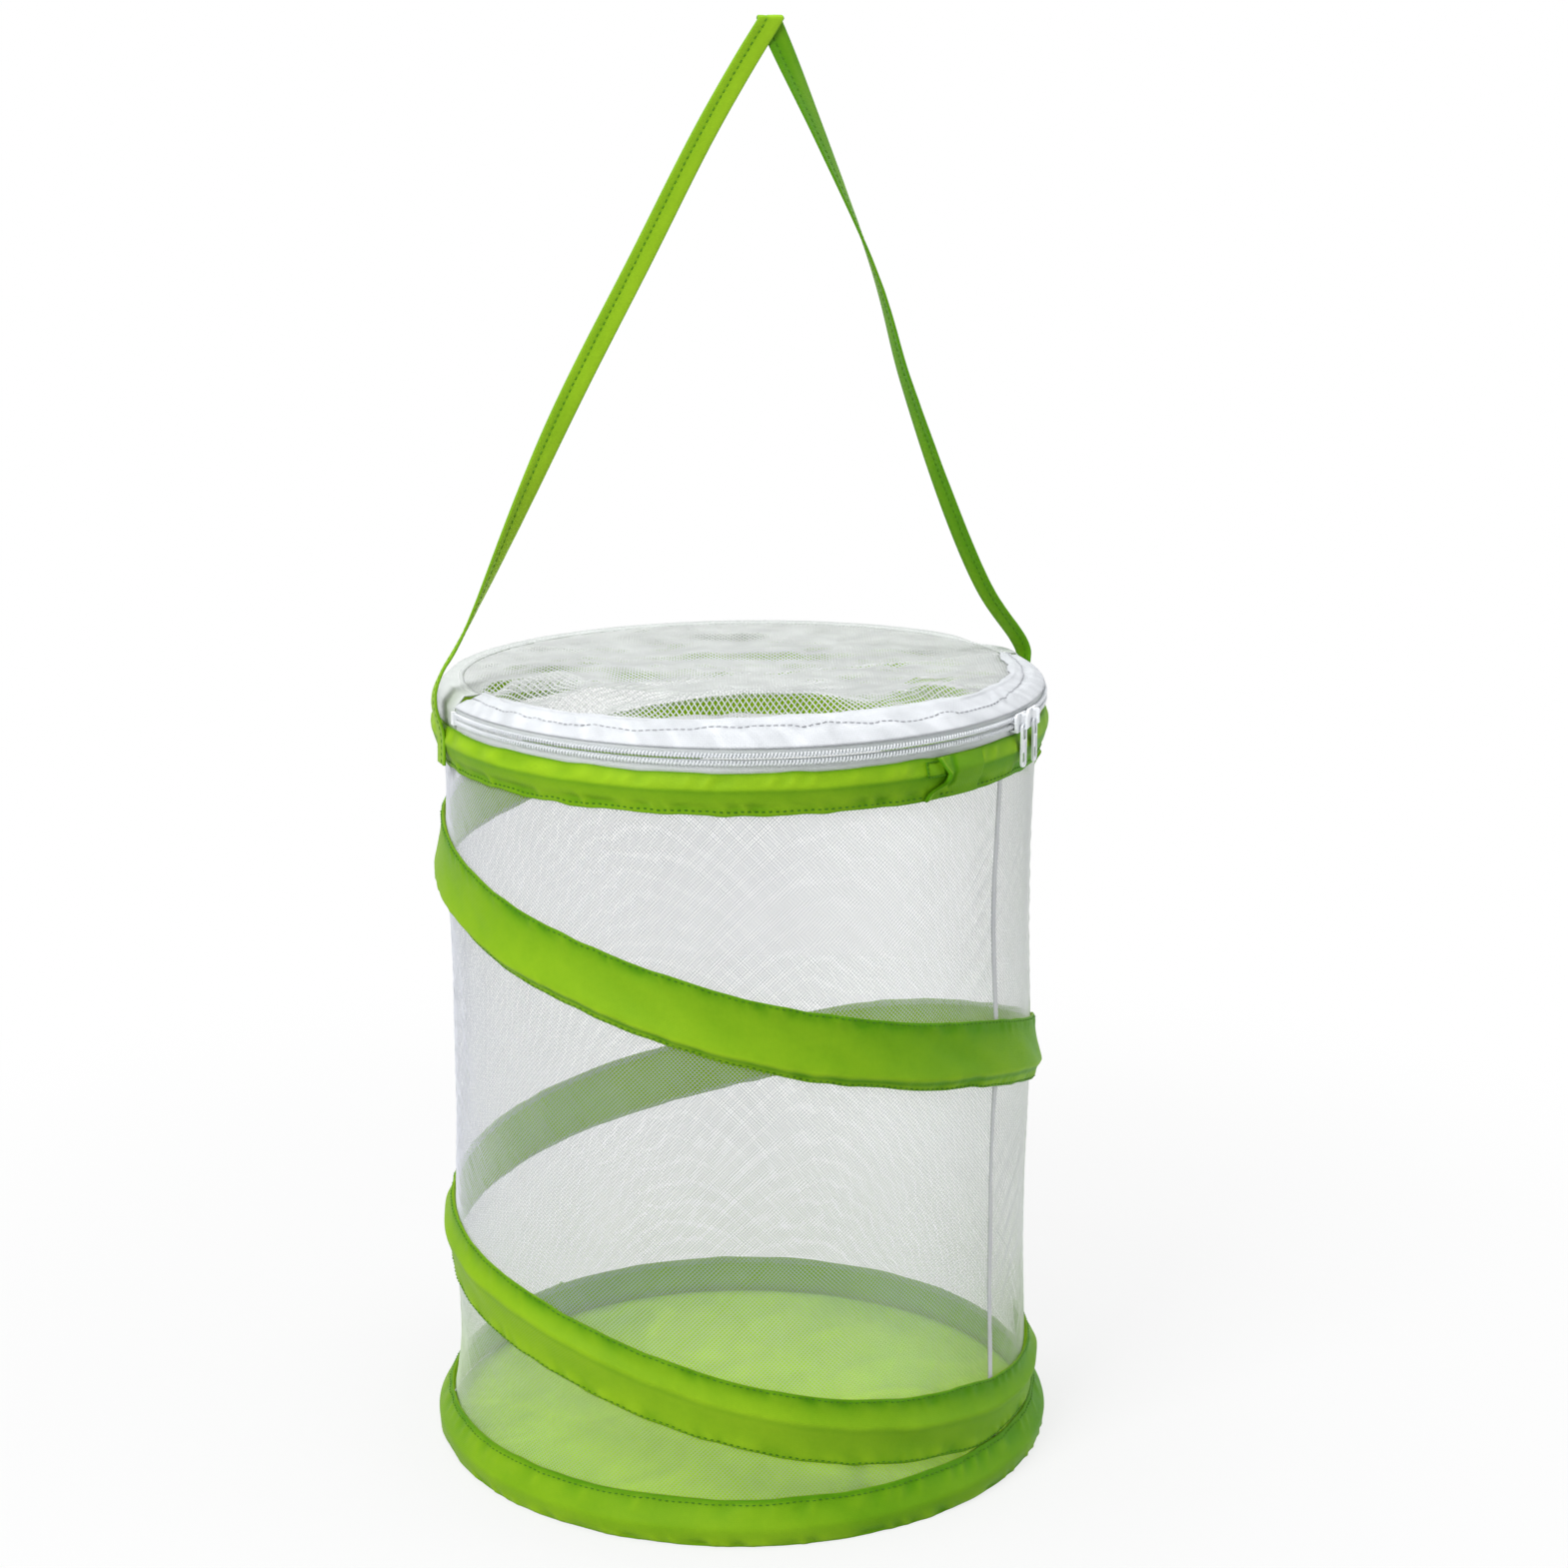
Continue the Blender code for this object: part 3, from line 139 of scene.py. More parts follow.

# The coil's route: where it starts, how far it winds, its end heights, shares of its rise, where
# its wire lies across its sleeve from -1 to 1, and how strong the painted shade in the crease under
# the wire and the painted highlight on its ridge are along it
COIL_START = math.radians(-10)
COIL_SWEEP = 4 * math.pi
COIL_TOP = 0.322
COIL_FOOT = 0.032
COIL_HEIGHT_SHARES = (
    1.0, 0.979, 0.948, 0.910, 0.869, 0.783, 0.686, 0.603, 0.507,
    0.424, 0.331, 0.272, 0.231, 0.172, 0.072, 0.012, 0.0,
)
COIL_WIRE_SHARES = (
    0.0, -0.28, -0.48, -0.58, -0.6, -0.62, -0.6, -0.52, -0.4,
    -0.25, -0.1, 0.1, 0.25, 0.3, 0.25, 0.1, 0.0,
)
COIL_PAINTED_CREASES = (0.4, 0.55, 0.55, 0.55, 0.50, 0.35, 0.20, 0.10, 0.06)

# Where the strap's right leg rubs the back border as it falls back
STRAP_RUB = math.radians(11)

# The strap's legs: their reach and rise, how many sections each has and over what length its
# ripple is read, their routes as shares of the reach and rise, and their turns in degrees
STRAP_REACH = 0.1415
STRAP_RISE = 0.314
LEG_SECTIONS = 150
LEG_LENGTH = 0.38
LEFT_LEG_SHARES = (
    (1.0, -0.0255), (1.0, 0.019), (1.019, 0.064), (0.995, 0.103), (0.893, 0.181),
    (0.593, 0.455), (0.325, 0.672), (0.105, 0.85), (-0.106, 1.0),
)
RIGHT_LEG_SHARES = (
    (1.0, -0.0255), (1.0, 0.019), (1.011, 0.057), (0.99, 0.09), (0.862, 0.172),
    (0.729, 0.302), (0.573, 0.487), (0.439, 0.672), (0.106, 1.0),
)
LEFT_LEG_TURNS = (0.0, 0.0, 6.0, 16.0, 22.0, 88.0, 92.0, 90.0, 90.0)
RIGHT_LEG_TURNS = (0.0, 0.0, -10.0, -25.0, -27.0, -24.0, -6.0, 15.0, 80.0)

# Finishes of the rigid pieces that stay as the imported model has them
HARDWARE = {
    "steel": ("bottom_hoop_wire", "top_hoop_wire", "bottom_hoop_ferrule", "top_hoop_ferrule"),
    "cap": ("coil_wire_cap_upper",),
    "zip": (
        "zip_stop_left", "zip_stop_right", "zip_slider_left", "zip_slider_right",
        "pull_tab_left", "pull_tab_right",
    ),
}

# Pitch of the nylon's weave
NYLON_PITCH = 0.00075

# Folds of the net top, seen from the front: middle across and away, half length, run of the
# slope, turn in degrees, rise and dip, and how far its ends bow. Behind each, the net comes
# down again over the tail
TOP_FOLDS = (
    (0.004, -0.092, 0.072, 0.012, 0, 0.0080, 0.0036, 0.010),
    (-0.094, -0.066, 0.036, 0.020, -12, 0.0095, 0.0030, 0.004),
    (-0.060, -0.088, 0.044, 0.013, 34, 0.0090, 0.0024, 0.0),
    (0.084, -0.076, 0.030, 0.012, 34, 0.0056, 0.0020, 0.002),
    (0.084, -0.038, 0.022, 0.006, 42, 0.0026, 0.0010, 0.0),
    (-0.058, -0.012, 0.070, 0.026, -10, 0.0034, 0.0, 0.0),
    (0.030, 0.030, 0.080, 0.034, 8, 0.0024, 0.0, 0.0),
    (-0.020, 0.080, 0.058, 0.026, -4, 0.0018, 0.0, 0.0),
)
FOLD_TAIL = 0.024

# From the left end of the flap's rim round the front to its right end: how far the binding
# laps in over the net, how many points lie across it, and where its stitches run, from 0 at
# the zip to 1 at the net
LIP_WIDTHS = (0.001, 0.001, 0.001, 0.002, 0.006, 0.010, 0.007, 0.002, 0.002, 0.004, 0.004)
BORDER_PLACES = 18
STITCH_SHARES = (0.62, 0.45, 0.42, 0.50, 0.76, 0.74, 0.50, 0.38, 0.58, 0.80, 0.85)


def smooth_values(values, places):
    """Read a table at many places between its entries, on a smooth curve through them."""
    values = np.asarray(values, float)
    last = len(values) - 1
    places = np.clip(places, 0, last)
    i = np.minimum(places.astype(int), last - 1)
    t = places - i
    before, a = values[np.maximum(i - 1, 0)], values[i]
    b, after = values[i + 1], values[np.minimum(i + 2, last)]
    rest = 1 - t
    return (
        a * (1 + 2 * t) * rest**2 + b * (3 - 2 * t) * t**2
        + (b - before) / 2 * t * rest**2 - (after - a) / 2 * rest * t**2
    )


def eased(share):
    """A share from 0 to 1, slowed down at both ends."""
    return share * share * (3 - 2 * share)


def bell(away, width):
    """A rounded hump: 1 in its middle, and next to nothing at twice its width."""
    return np.exp(-((away / width) ** 2))


def unit(vectors):
    """Vectors with their lengths made 1."""
    return vectors / np.linalg.norm(vectors, axis=1, keepdims=True)


def waver(places, seed):
    """Smooth noise from -1 to 1, one bend to each unit of length."""
    places = np.asarray(places, float)
    cell = np.floor(places).astype(np.int64)
    t = eased(places - cell)

    def knot(index):
        mixed = np.sin(index * 12.9898 + seed * 78.233) * 43758.5453
        return 2 * (mixed - np.floor(mixed)) - 1

    return knot(cell) * (1 - t) + knot(cell + 1) * t


def waver2(x, y, seed):
    """Smooth noise from -1 to 1 over a surface."""
    cell_x, cell_y = np.floor(x).astype(np.int64), np.floor(y).astype(np.int64)
    s, t = eased(x - cell_x), eased(y - cell_y)

    def knot(i, j):
        mixed = np.sin(i * 12.9898 + j * 37.719 + seed * 78.233) * 43758.5453
        return 2 * (mixed - np.floor(mixed)) - 1

    low = knot(cell_x, cell_y) * (1 - s) + knot(cell_x + 1, cell_y) * s
    high = knot(cell_x, cell_y + 1) * (1 - s) + knot(cell_x + 1, cell_y + 1) * s
    return low * (1 - t) + high * t


def creases(places, seed):
    """Noise with sharp crests of 1 and broad hollows down to -1.2."""
    return 1 - 2.2 * np.abs(waver(places, seed))


def on_ring(radius, angle, height):
    """Points on cylinders about the cage's axis."""
    radius, angle, height = np.broadcast_arrays(radius, angle, height)
    return np.stack([radius * np.cos(angle), radius * np.sin(angle), height], axis=-1)


def wall_radius(height):
    """Outer face of the net wall, which flares to the bottom hoop."""
    share = np.clip(1 - np.asarray(height, float) / FLARE_HEIGHT, 0, 1)
    return WALL_RADIUS + (FOOT_RADIUS - WALL_RADIUS) * share**1.3


def angle_between(angle, other):
    """The turn from one angle to another, from minus half a turn to half a turn."""
    return (np.asarray(angle, float) - other + math.pi) % FULL_TURN - math.pi


def read_coil(shares, sweep):
    """Read a table of the coil's route at many places along it."""
    return smooth_values(shares, np.asarray(sweep, float) / COIL_SWEEP * (len(shares) - 1))


def coil_middle(sweep):
    """Height of the middle of the coil's sleeve."""
    return COIL_FOOT + (COIL_TOP - COIL_FOOT) * read_coil(COIL_HEIGHT_SHARES, sweep)


def coil_half(sweep):
    """Half of the height of the coil's sleeve, which narrows beside the hoops' sleeves."""
    middle = coil_middle(sweep)
    room = np.minimum(BAND_FOOT - 0.0006 - middle, middle - 0.0211)
    return np.minimum(0.0155, room)


def coil_passes(angle):
    """How far along itself the coil passes this side of the cage, turn by turn."""
    first = (angle - COIL_START) % FULL_TURN
    return [first + FULL_TURN * turn for turn in range(3)]


def slack(angle, height):
    """How far the net wall hangs in from its cylinder, between the sleeves that hold it."""
    angle, height = np.broadcast_arrays(np.asarray(angle, float), np.asarray(height, float))
    held = np.minimum(height - 0.020, BAND_FOOT - height)
    for sweep in coil_passes(angle):
        away = np.abs(height - coil_middle(sweep)) - coil_half(sweep)
        held = np.where(sweep <= COIL_SWEEP, np.minimum(held, away), held)
    free = np.clip(held / 0.045, 0, 1)
    along = angle * WALL_RADIUS
    folds = 0.0009 * waver(along / 0.021 + height * 9, 3) + 0.0005 * waver(along / 0.009, 8)
    near_seam = bell(angle_between(angle, SEAM_ANGLE), 0.16)
    folds = folds + 0.0007 * near_seam * waver(along / 0.0075 + height * 14, 11)
    low = np.clip(1 - height / 0.075, 0, 1) * np.clip(height / 0.02, 0, 1)
    side = bell(angle_between(angle, math.radians(-62)), 0.34)
    folds = folds + 0.0026 * low * side * waver(along / 0.011 - height * 30, 5)
    return free * (0.0012 + np.abs(folds)) + 0.0002


def rim_height(angle):
    """Height of the rim of the net top, a little higher at the front."""
    return RIM_HEIGHT - RIM_RISE * np.sin(angle)


def lip_width(angle):
    """How far the flap's binding laps in over the net."""
    share = angle_between(angle, -math.pi / 2) / math.radians(85) / 2 + 0.5
    ends = np.clip(np.minimum(share, 1 - share) / 0.04, 0, 1)
    width = smooth_values(LIP_WIDTHS, share * (len(LIP_WIDTHS) - 1))
    along = angle * RIM_RADIUS
    return ends * (width + 0.0016 * waver(along / 0.011, 94) + 0.0006 * waver(along / 0.004, 90))


def top_height(x, y):
    """Height of the net top: a slack skin in the rim's plane, with its folds."""
    turn = math.radians(20.8)
    across = x * math.cos(turn) - y * math.sin(turn)
    away = x * math.sin(turn) + y * math.cos(turn)
    height = RIM_HEIGHT - RIM_RISE * y / RIM_RADIUS
    room = RIM_RADIUS - 0.8 * lip_width(np.arctan2(y, x)) - np.hypot(x, y)
    edge = eased(np.clip(room / 0.010, 0, 1))
    lift = -0.0012 * np.clip(room / 0.05, 0, 1)
    for middle, depth, reach, run, degrees, rise, dip, bow in TOP_FOLDS:
        c, s = math.cos(math.radians(degrees)), math.sin(math.radians(degrees))
        p, q = across - middle, away - depth
        p, q = p * c + q * s, q * c - p * s
        q = q + bow * (p / reach) ** 2
        part = np.cos(math.pi / 2 * np.clip(np.abs(p) / reach, 0, 1))
        tail = np.exp(-np.clip(q - run / 2, 0, None) / FOLD_TAIL)
        up = eased(np.clip(q / run + 0.5, 0, 1)) * tail
        down = bell(q + run / 2, run / 2)
        lift = lift + part * (rise * up - dip * down)
    lift = lift + 0.0009 * waver2(across / 0.017, away / 0.009, 2)
    lift = lift + 0.0006 * waver2(across / 0.008 + 7, away / 0.010, 6)
    beside = np.abs(y - FOLD_LINE)
    lift = np.minimum(lift, 0.0003 + 0.65 * beside)
    return height + edge * lift * eased(np.clip(beside / 0.005, 0, 1))


class Value:
    """A node's output, so that sums and products of outputs can be written as plain maths."""

    def __init__(self, nodes, socket):
        self.nodes, self.socket = nodes, socket

    def maths(self, operation, *others):
        """One Math node on this value and others."""
        settings = {"operation": operation}
        return self.nodes.node("ShaderNodeMath", settings, dict(enumerate((self, *others))))

    def __add__(self, other):
        return self.maths("ADD", other)

    def __radd__(self, other):
        return self.maths("ADD", other)

    def __sub__(self, other):
        return self.maths("SUBTRACT", other)

    def __rsub__(self, other):
        return self.nodes.node("ShaderNodeMath", {"operation": "SUBTRACT"}, {0: other, 1: self})

    def __mul__(self, other):
        return self.maths("MULTIPLY", other)

    def __rmul__(self, other):
        return self.maths("MULTIPLY", other)

    def clamped(self):
        """This value, kept from 0 to 1."""
        settings = {"operation": "ADD", "use_clamp": True}
        return self.nodes.node("ShaderNodeMath", settings, {0: self, 1: 0.0})


class Nodes:
    """A node tree under construction."""

    def __init__(self, tree):
        self.tree = tree

    def put(self, socket, value):
        """Link or set one input of a node."""
        if isinstance(value, Value):
            self.tree.links.new(value.socket, socket)
        else:
            socket.default_value = value

    def node(self, kind, settings=None, inputs=None, output=0):
        """Add a node: its settings first, then the values or links of its sockets."""
        made = self.tree.nodes.new(kind)
        for key, value in (settings or {}).items():
            setattr(made, key, value)
        for key, value in (inputs or {}).items():
            self.put(made.inputs[key], value)
        return Value(self, made.outputs[output])


class Finish(Nodes):
    """A material under construction."""

    def __init__(self, name, roughness, metallic=0.0, **constants):
        self.material = bpy.data.materials.new(name)
        self.material.use_nodes = True
        super().__init__(self.material.node_tree)
        self.shader = self.tree.nodes["Principled BSDF"]
        self.shader.inputs["Roughness"].default_value = roughness
        self.shader.inputs["Metallic"].default_value = metallic
        for socket, value in constants.items():
            self.shader.inputs[socket.replace("_", " ")].default_value = value

    def place(self, kind="Object"):
        """The piece's own coordinates, or with "UV" its cloth's map, both in metres."""
        return self.node("ShaderNodeTexCoord", output=kind)

    def axis(self, place, letter):
        """One coordinate of a place."""
        return self.node("ShaderNodeSeparateXYZ", None, {0: place}, output=letter)

    def noise(self, place, scale, detail=3.0, roughness=0.5):
        """Soft noise from 0 to 1."""
        inputs = {"Vector": place, "Scale": scale, "Detail": detail, "Roughness": roughness}
        return self.node("ShaderNodeTexNoise", {"noise_dimensions": "3D"}, inputs)

    def painted_shading(self):
        """The painted light and shade that a piece carries here, from 0, painted shade, to 1,
        painted light.
        """
        return self.node("ShaderNodeAttribute", {"attribute_name": "painted_shading"}, output="Fac")

    def weave(self, pitch):
        """A plain weave over the cloth's map: threads that pass over and under, from 0 to 1."""
        inputs = {0: self.place("UV"), "Scale": math.pi / pitch}
        place = self.node("ShaderNodeVectorMath", {"operation": "SCALE"}, inputs)
        across = self.axis(place, "X").maths("SINE")
        along = self.axis(place, "Y").maths("SINE")
        over = (across * along).maths("SIGN") * 0.5 + 0.5
        return across.maths("ABSOLUTE") * over + along.maths("ABSOLUTE") * (1 - over)

    def mix(self, factor, low, high):
        """A colour between two others, each a node's output or a plain colour."""
        low, high = (v if isinstance(v, Value) else (*v, 1.0) for v in (low, high))
        settings = {"data_type": "RGBA"}
        return self.node("ShaderNodeMix", settings, {0: factor, 6: low, 7: high}, output=2)

    def finished(self, colour, roughness, height, depth, strength):
        """The material, with bump from a height of 0 to 1 that stands for a depth in metres."""
        self.put(self.shader.inputs["Base Color"], colour)
        self.put(self.shader.inputs["Roughness"], roughness)
        inputs = {"Height": height, "Distance": depth, "Strength": strength}
        self.put(self.shader.inputs["Normal"], self.node("ShaderNodeBump", None, inputs))
        return self.material


def nylon_finish(name, colours, roughness=0.43, sheen=0.07, grain=0.00022):
    """Green nylon taffeta: a fine weave, a soft shine, tone that differs at random, and the painted
    light and shade over its folds that its piece carries.
    """
    finish = Finish(name, roughness, Specular_IOR_Level=sheen)
    tone = finish.noise(finish.place(), 34.0, 4.0, 0.6)
    fine = finish.noise(finish.place("UV"), 420.0, 2.0, 0.5)
    weave = finish.weave(NYLON_PITCH)
    shade = (finish.painted_shading() + (tone - 0.5) * 0.5 + (fine - 0.5) * 0.12
             + (weave - 0.5) * 0.06).clamped()
    return finish.finished(
        finish.mix(shade, colours.green_deep, colours.green_light),
        0.36 + 0.16 * tone + 0.06 * weave, weave * 0.35 + fine * 0.25 + tone * 0.4, grain, 0.8,
    )


def floor_finish(name, colours):
    """The floor's nylon: paler than the sleeves as painted light for the light that reaches it, with
    painted shade in its creases and tone that differs at random.
    """
    finish = Finish(name, 0.5, Specular_IOR_Level=0.12)
    tone = finish.noise(finish.place(), 26.0, 5.0, 0.65)
    weave = finish.weave(NYLON_PITCH)
    shade = (finish.painted_shading() + (tone - 0.5) * 1.4 + (weave - 0.5) * 0.1).clamped()
    return finish.finished(
        finish.mix(shade, colours.floor_deep, colours.floor_light),
        0.42 + 0.14 * tone, tone * 0.7 + weave * 0.3, 0.0004, 0.8,
    )


def tape_finish(name, low, high, pitch=0.0009):
    """White woven tape, with a plain weave that shows, and the painted light and shade that its
    piece carries.
    """
    finish = Finish(name, 0.7, Specular_IOR_Level=0.2)
    weave = finish.weave(pitch)
    tone = finish.noise(finish.place(), 60.0, 3.0, 0.6)
    shade = (finish.painted_shading() + (tone - 0.5) * 0.7 + (weave - 0.5) * 0.2).clamped()
    return finish.finished(
        finish.mix(shade, low, high), 0.56 + 0.14 * weave, weave * 0.7 + tone * 0.3, 0.00018, 0.8
    )


def thread_finish(name, low, high):
    """Thread or yarn: two close tones and a fine twist."""
    finish = Finish(name, 0.55, Specular_IOR_Level=0.2)
    tone = finish.noise(finish.place(), 55.0, 2.0, 0.5)
    twist = finish.noise(finish.place(), 2600.0, 1.0, 0.4)
    shade = (tone * 0.9 + twist * 0.3 - 0.1).clamped()
    return finish.finished(finish.mix(shade, low, high), 0.49 + 0.12 * twist, twist, 0.00005, 0.5)


def net_finish(name, colours):
    """The wall's yarn: painted green bounce light near the floor, and painted light, up to white, on
    the cage's right side, where the seam is.
    """
    finish = Finish(name, 0.6, Specular_IOR_Level=0.2)
    place = finish.place()
    tone = finish.noise(place, 55.0, 2.0, 0.5)
    # Painted light: green light bounced off the floor is painted into the yarn low down, and the
    # yarn on the cage's right side is painted lighter.
    low = (1.7 - finish.axis(place, "Z") * 17.0).clamped()
    painted_light_right = (finish.axis(place, "X") * 16.0 - 0.9).clamped()
    yarn = finish.mix(tone, colours.net_shade, colours.net_grey)
    yarn = finish.mix(painted_light_right, yarn, colours.net_light)
    yarn = finish.mix(low, yarn, colours.net_painted_bounce)
    return finish.finished(yarn, 0.54 + 0.12 * tone, tone, 0.00005, 0.5)


def plastic_finish(name, low, high, roughness=0.3):
    """Moulded plastic with a faint flow pattern and scuffs."""
    finish = Finish(name, roughness, Coat_Weight=0.15, Coat_Roughness=0.2)
    tone = finish.noise(finish.place(), 180.0, 4.0, 0.6)
    scuff = finish.noise(finish.place(), 1500.0, 2.0, 0.5)
    return finish.finished(
        finish.mix(tone, low, high), roughness - 0.05 + 0.12 * scuff, scuff * 0.5 + tone * 0.5,
        0.00004, 0.6,
    )


def metal_finish(name, low, high):
    """Drawn wire and crimped steel."""
    finish = Finish(name, 0.32, 1.0)
    tone = finish.noise(finish.place(), 260.0, 4.0, 0.6)
    drawn = finish.noise(finish.place(), 2200.0, 2.0, 0.6)
    return finish.finished(finish.mix(tone, low, high), 0.26 + 0.16 * drawn, drawn, 0.00003, 0.6)


def make_finishes(colours):
    """Every finish of the cage."""
    return {
        "nylon": nylon_finish("green_nylon_cloth", colours),
        "strap": nylon_finish("green_strap_cloth", colours, 0.5, 0.13, 0.00007),
        "floor": floor_finish("green_floor_cloth", colours),
        "green_thread": thread_finish(
            "green_sewing_thread", colours.green_thread, colours.green_deep
        ),
        "grey_thread": thread_finish("grey_sewing_thread", colours.grey_thread, colours.net_shade),
        "wall_net": net_finish("fine_net_yarn", colours),
        "net": thread_finish("white_net_yarn", colours.net_deep, colours.net_light),
        "seam": tape_finish("bright_seam_tape", colours.net_shade, colours.seam_light),
        "tape": tape_finish("white_binding_tape", colours.tape_deep, colours.tape_light),
        "net_tape": tape_finish("grey_edge_tape", colours.edge_deep, colours.edge_light),
        "zip_tape": tape_finish("white_zip_tape", colours.zip_tape, colours.tape_light, 0.0007),
        "zip": plastic_finish("white_zip_plastic", colours.zip_deep, colours.zip_light),
        "steel": metal_finish("spring_steel_wire", colours.steel_deep, colours.steel_light),
        "cap": plastic_finish("clear_cap_plastic", colours.cap_deep, colours.cap_light, 0.35),
    }


def finish_named(name):
    """A finish that has been made."""
    made = bpy.context.scene.get("cage_finishes")
    if not made:
        finishes = make_finishes(bpy.context.scene.cage_colours)
        bpy.context.scene["cage_finishes"] = {key: m.name for key, m in finishes.items()}
        made = bpy.context.scene["cage_finishes"]
    return bpy.data.materials[made[name]]


def place_piece(name, mesh, finish, body, smooth=True):
    """Put a mesh in the scene as a piece that rides on a body."""
    if smooth:
        mesh.shade_smooth()
    mesh.materials.append(finish_named(finish))
    piece = bpy.data.objects.new(name, mesh)
    bpy.context.scene.collection.objects.link(piece)
    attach(piece, body)
    return piece


def cloth_mesh(name, points, ring=False, painted_shading=0.6):
    """A tube over rows of points, each row once round it, with a UV map in metres.

    ring joins the last row to the first, and a tube that isn't a ring gets end caps.
    The last argument gives each point's painted light and shade, from 0, painted shade, to 1,
    painted light.
    """
    rows, places = points.shape[:2]
    i, j = np.meshgrid(np.arange(rows if ring else rows - 1), np.arange(places), indexing="ij")
    k, m = (i + 1) % rows, (j + 1) % places
    quads = np.stack([i * places + j, i * places + m, k * places + m, k * places + j], -1)
    faces = quads.reshape(-1, 4).tolist()
    if not ring:
        faces.append(list(range(places))[::-1])
        faces.append([(rows - 1) * places + n for n in range(places)])
    mesh = new_mesh(name, points, faces)
    wrapped = np.concatenate([points, points[:1]], 0) if ring else points
    steps = np.linalg.norm(np.diff(wrapped, axis=0), axis=-1).mean(axis=1)
    along = np.concatenate([[0], np.cumsum(steps)])
    across = np.concatenate([points, points[:, :1]], 1)
    widths = np.linalg.norm(np.diff(across, axis=1), axis=-1).mean(axis=0)
    over = np.concatenate([[0], np.cumsum(widths)])
    layer = mesh.uv_layers.new(name="cloth")
    corner = np.zeros((len(mesh.loops), 2))
    count = quads.shape[0] * quads.shape[1]
    i, j = i.reshape(-1), j.reshape(-1)
    corner[: count * 4] = np.stack(
        [
            np.stack([along[i], over[j]], -1), np.stack([along[i], over[j + 1]], -1),
            np.stack([along[i + 1], over[j + 1]], -1), np.stack([along[i + 1], over[j]], -1),
        ],
        1,
    ).reshape(-1, 2)
    layer.data.foreach_set("uv", corner.reshape(-1))
    add_painted_shading(mesh, np.broadcast_to(painted_shading, (rows, places)).reshape(-1))
    return turn_outward(mesh)


def new_mesh(name, points, faces):
    """A mesh from an array of points and a list of faces."""
    mesh = bpy.data.meshes.new(name)
    mesh.from_pydata(points.reshape(-1, 3).tolist(), [], faces)
    return mesh


def add_painted_shading(mesh, painted_shading):
    """Store each point's painted light and shade, for the cloth's finish to read."""
    tone = mesh.attributes.new("painted_shading", "FLOAT", "POINT")
    tone.data.foreach_set("value", painted_shading)


def turn_outward(mesh):
    """Flip a closed mesh whose faces point inward."""
    mesh.calc_loop_triangles()
    points = np.empty(len(mesh.vertices) * 3)
    mesh.vertices.foreach_get("co", points)
    points = points.reshape(-1, 3)
    corners = np.empty(len(mesh.loop_triangles) * 3, int)
    mesh.loop_triangles.foreach_get("vertices", corners)
    a, b, c = (points[corners.reshape(-1, 3)[:, n]] for n in range(3))
    if (a * np.cross(b, c)).sum() < 0:
        mesh.flip_normals()
    return mesh


def strand_sides(route, normal):
    """The directions beside and above a strand at each point of its route."""
    along = unit(np.gradient(route, axis=0))
    side = unit(np.cross(along, normal))
    return side, np.cross(side, along)


def make_threads(name, routes, normals, width, depth):
    """A mesh of many net threads, each a three-sided strand with closed ends."""
    corners = ((0.5 * depth, 0.0), (-0.5 * depth, 0.5 * width), (-0.5 * depth, -0.5 * width))
    points, quads, ends = [], [], []
    start = 0
    for route, normal in zip(routes, normals):
        side, up = strand_sides(route, normal)
        count = len(route)
        for rise, sway in corners:
            points.append(route + rise * up + sway * side)
        steps = np.arange(count - 1)
        for n in range(3):
            a = start + n * count + steps
            b = start + (n + 1) % 3 * count + steps
            quads.append(np.stack([a, b, b + 1, a + 1], -1))
        ends.append([start, start + 2 * count, start + count])
        ends.append([start + count - 1, start + 2 * count - 1, start + 3 * count - 1])
        start += 3 * count
    faces = np.concatenate(quads).tolist() + ends
    return turn_outward(new_mesh(name, np.concatenate(points), faces))


def stitch_mesh(name, starts, ends, normals, radius):
    """Short stitches, each a spindle that dips into the cloth at both ends."""
    starts, ends, normals = (np.asarray(v, float) for v in (starts, ends, normals))
    along = ends - starts
    side = unit(np.cross(unit(along), normals))
    rings = []
    for share in (0.22, 0.78):
        middle = starts + along * share + normals * radius * 0.35
        for c, s in ((1, 0), (0, 1), (-1, 0), (0, -1)):
            rings.append(middle + radius * (c * normals + s * side))
    sunk = normals * radius * 0.9
    points = np.stack([starts - sunk, *rings, ends - sunk], 1)
    shape = []
    for n in range(4):
        m = (n + 1) % 4
        shape.append((0, 1 + m, 1 + n))
        shape.append((1 + n, 1 + m, 5 + m, 5 + n))
        shape.append((5 + n, 5 + m, 9))
    faces = [tuple(10 * k + v for v in face) for k in range(len(starts)) for face in shape]
    return turn_outward(new_mesh(name, points, faces))


def stitch_line(route, normals, pitch, gap_share=0.28, wander=0.0, seed=1):
    """Where the stitches lie along a route: starts, ends and normals."""
    steps = np.linalg.norm(np.diff(route, axis=0), axis=1)
    length = np.concatenate([[0], np.cumsum(steps)])
    count = max(int(length[-1] / pitch), 1)
    begin = (np.arange(count) + gap_share / 2) * length[-1] / count
    end = begin + (1 - gap_share) * length[-1] / count

    def read(values, at):
        return np.stack([np.interp(at, length, values[:, n]) for n in range(3)], -1)

    normal = unit(read(normals, (begin + end) / 2))
    starts, ends = read(route, begin), read(route, end)
    if wander:
        side = unit(np.cross(ends - starts, normal))
        starts = starts + side * (wander * waver(begin / 0.004, seed))[:, None]
        ends = ends + side * (wander * waver(end / 0.004, seed))[:, None]
    return starts, ends, normal


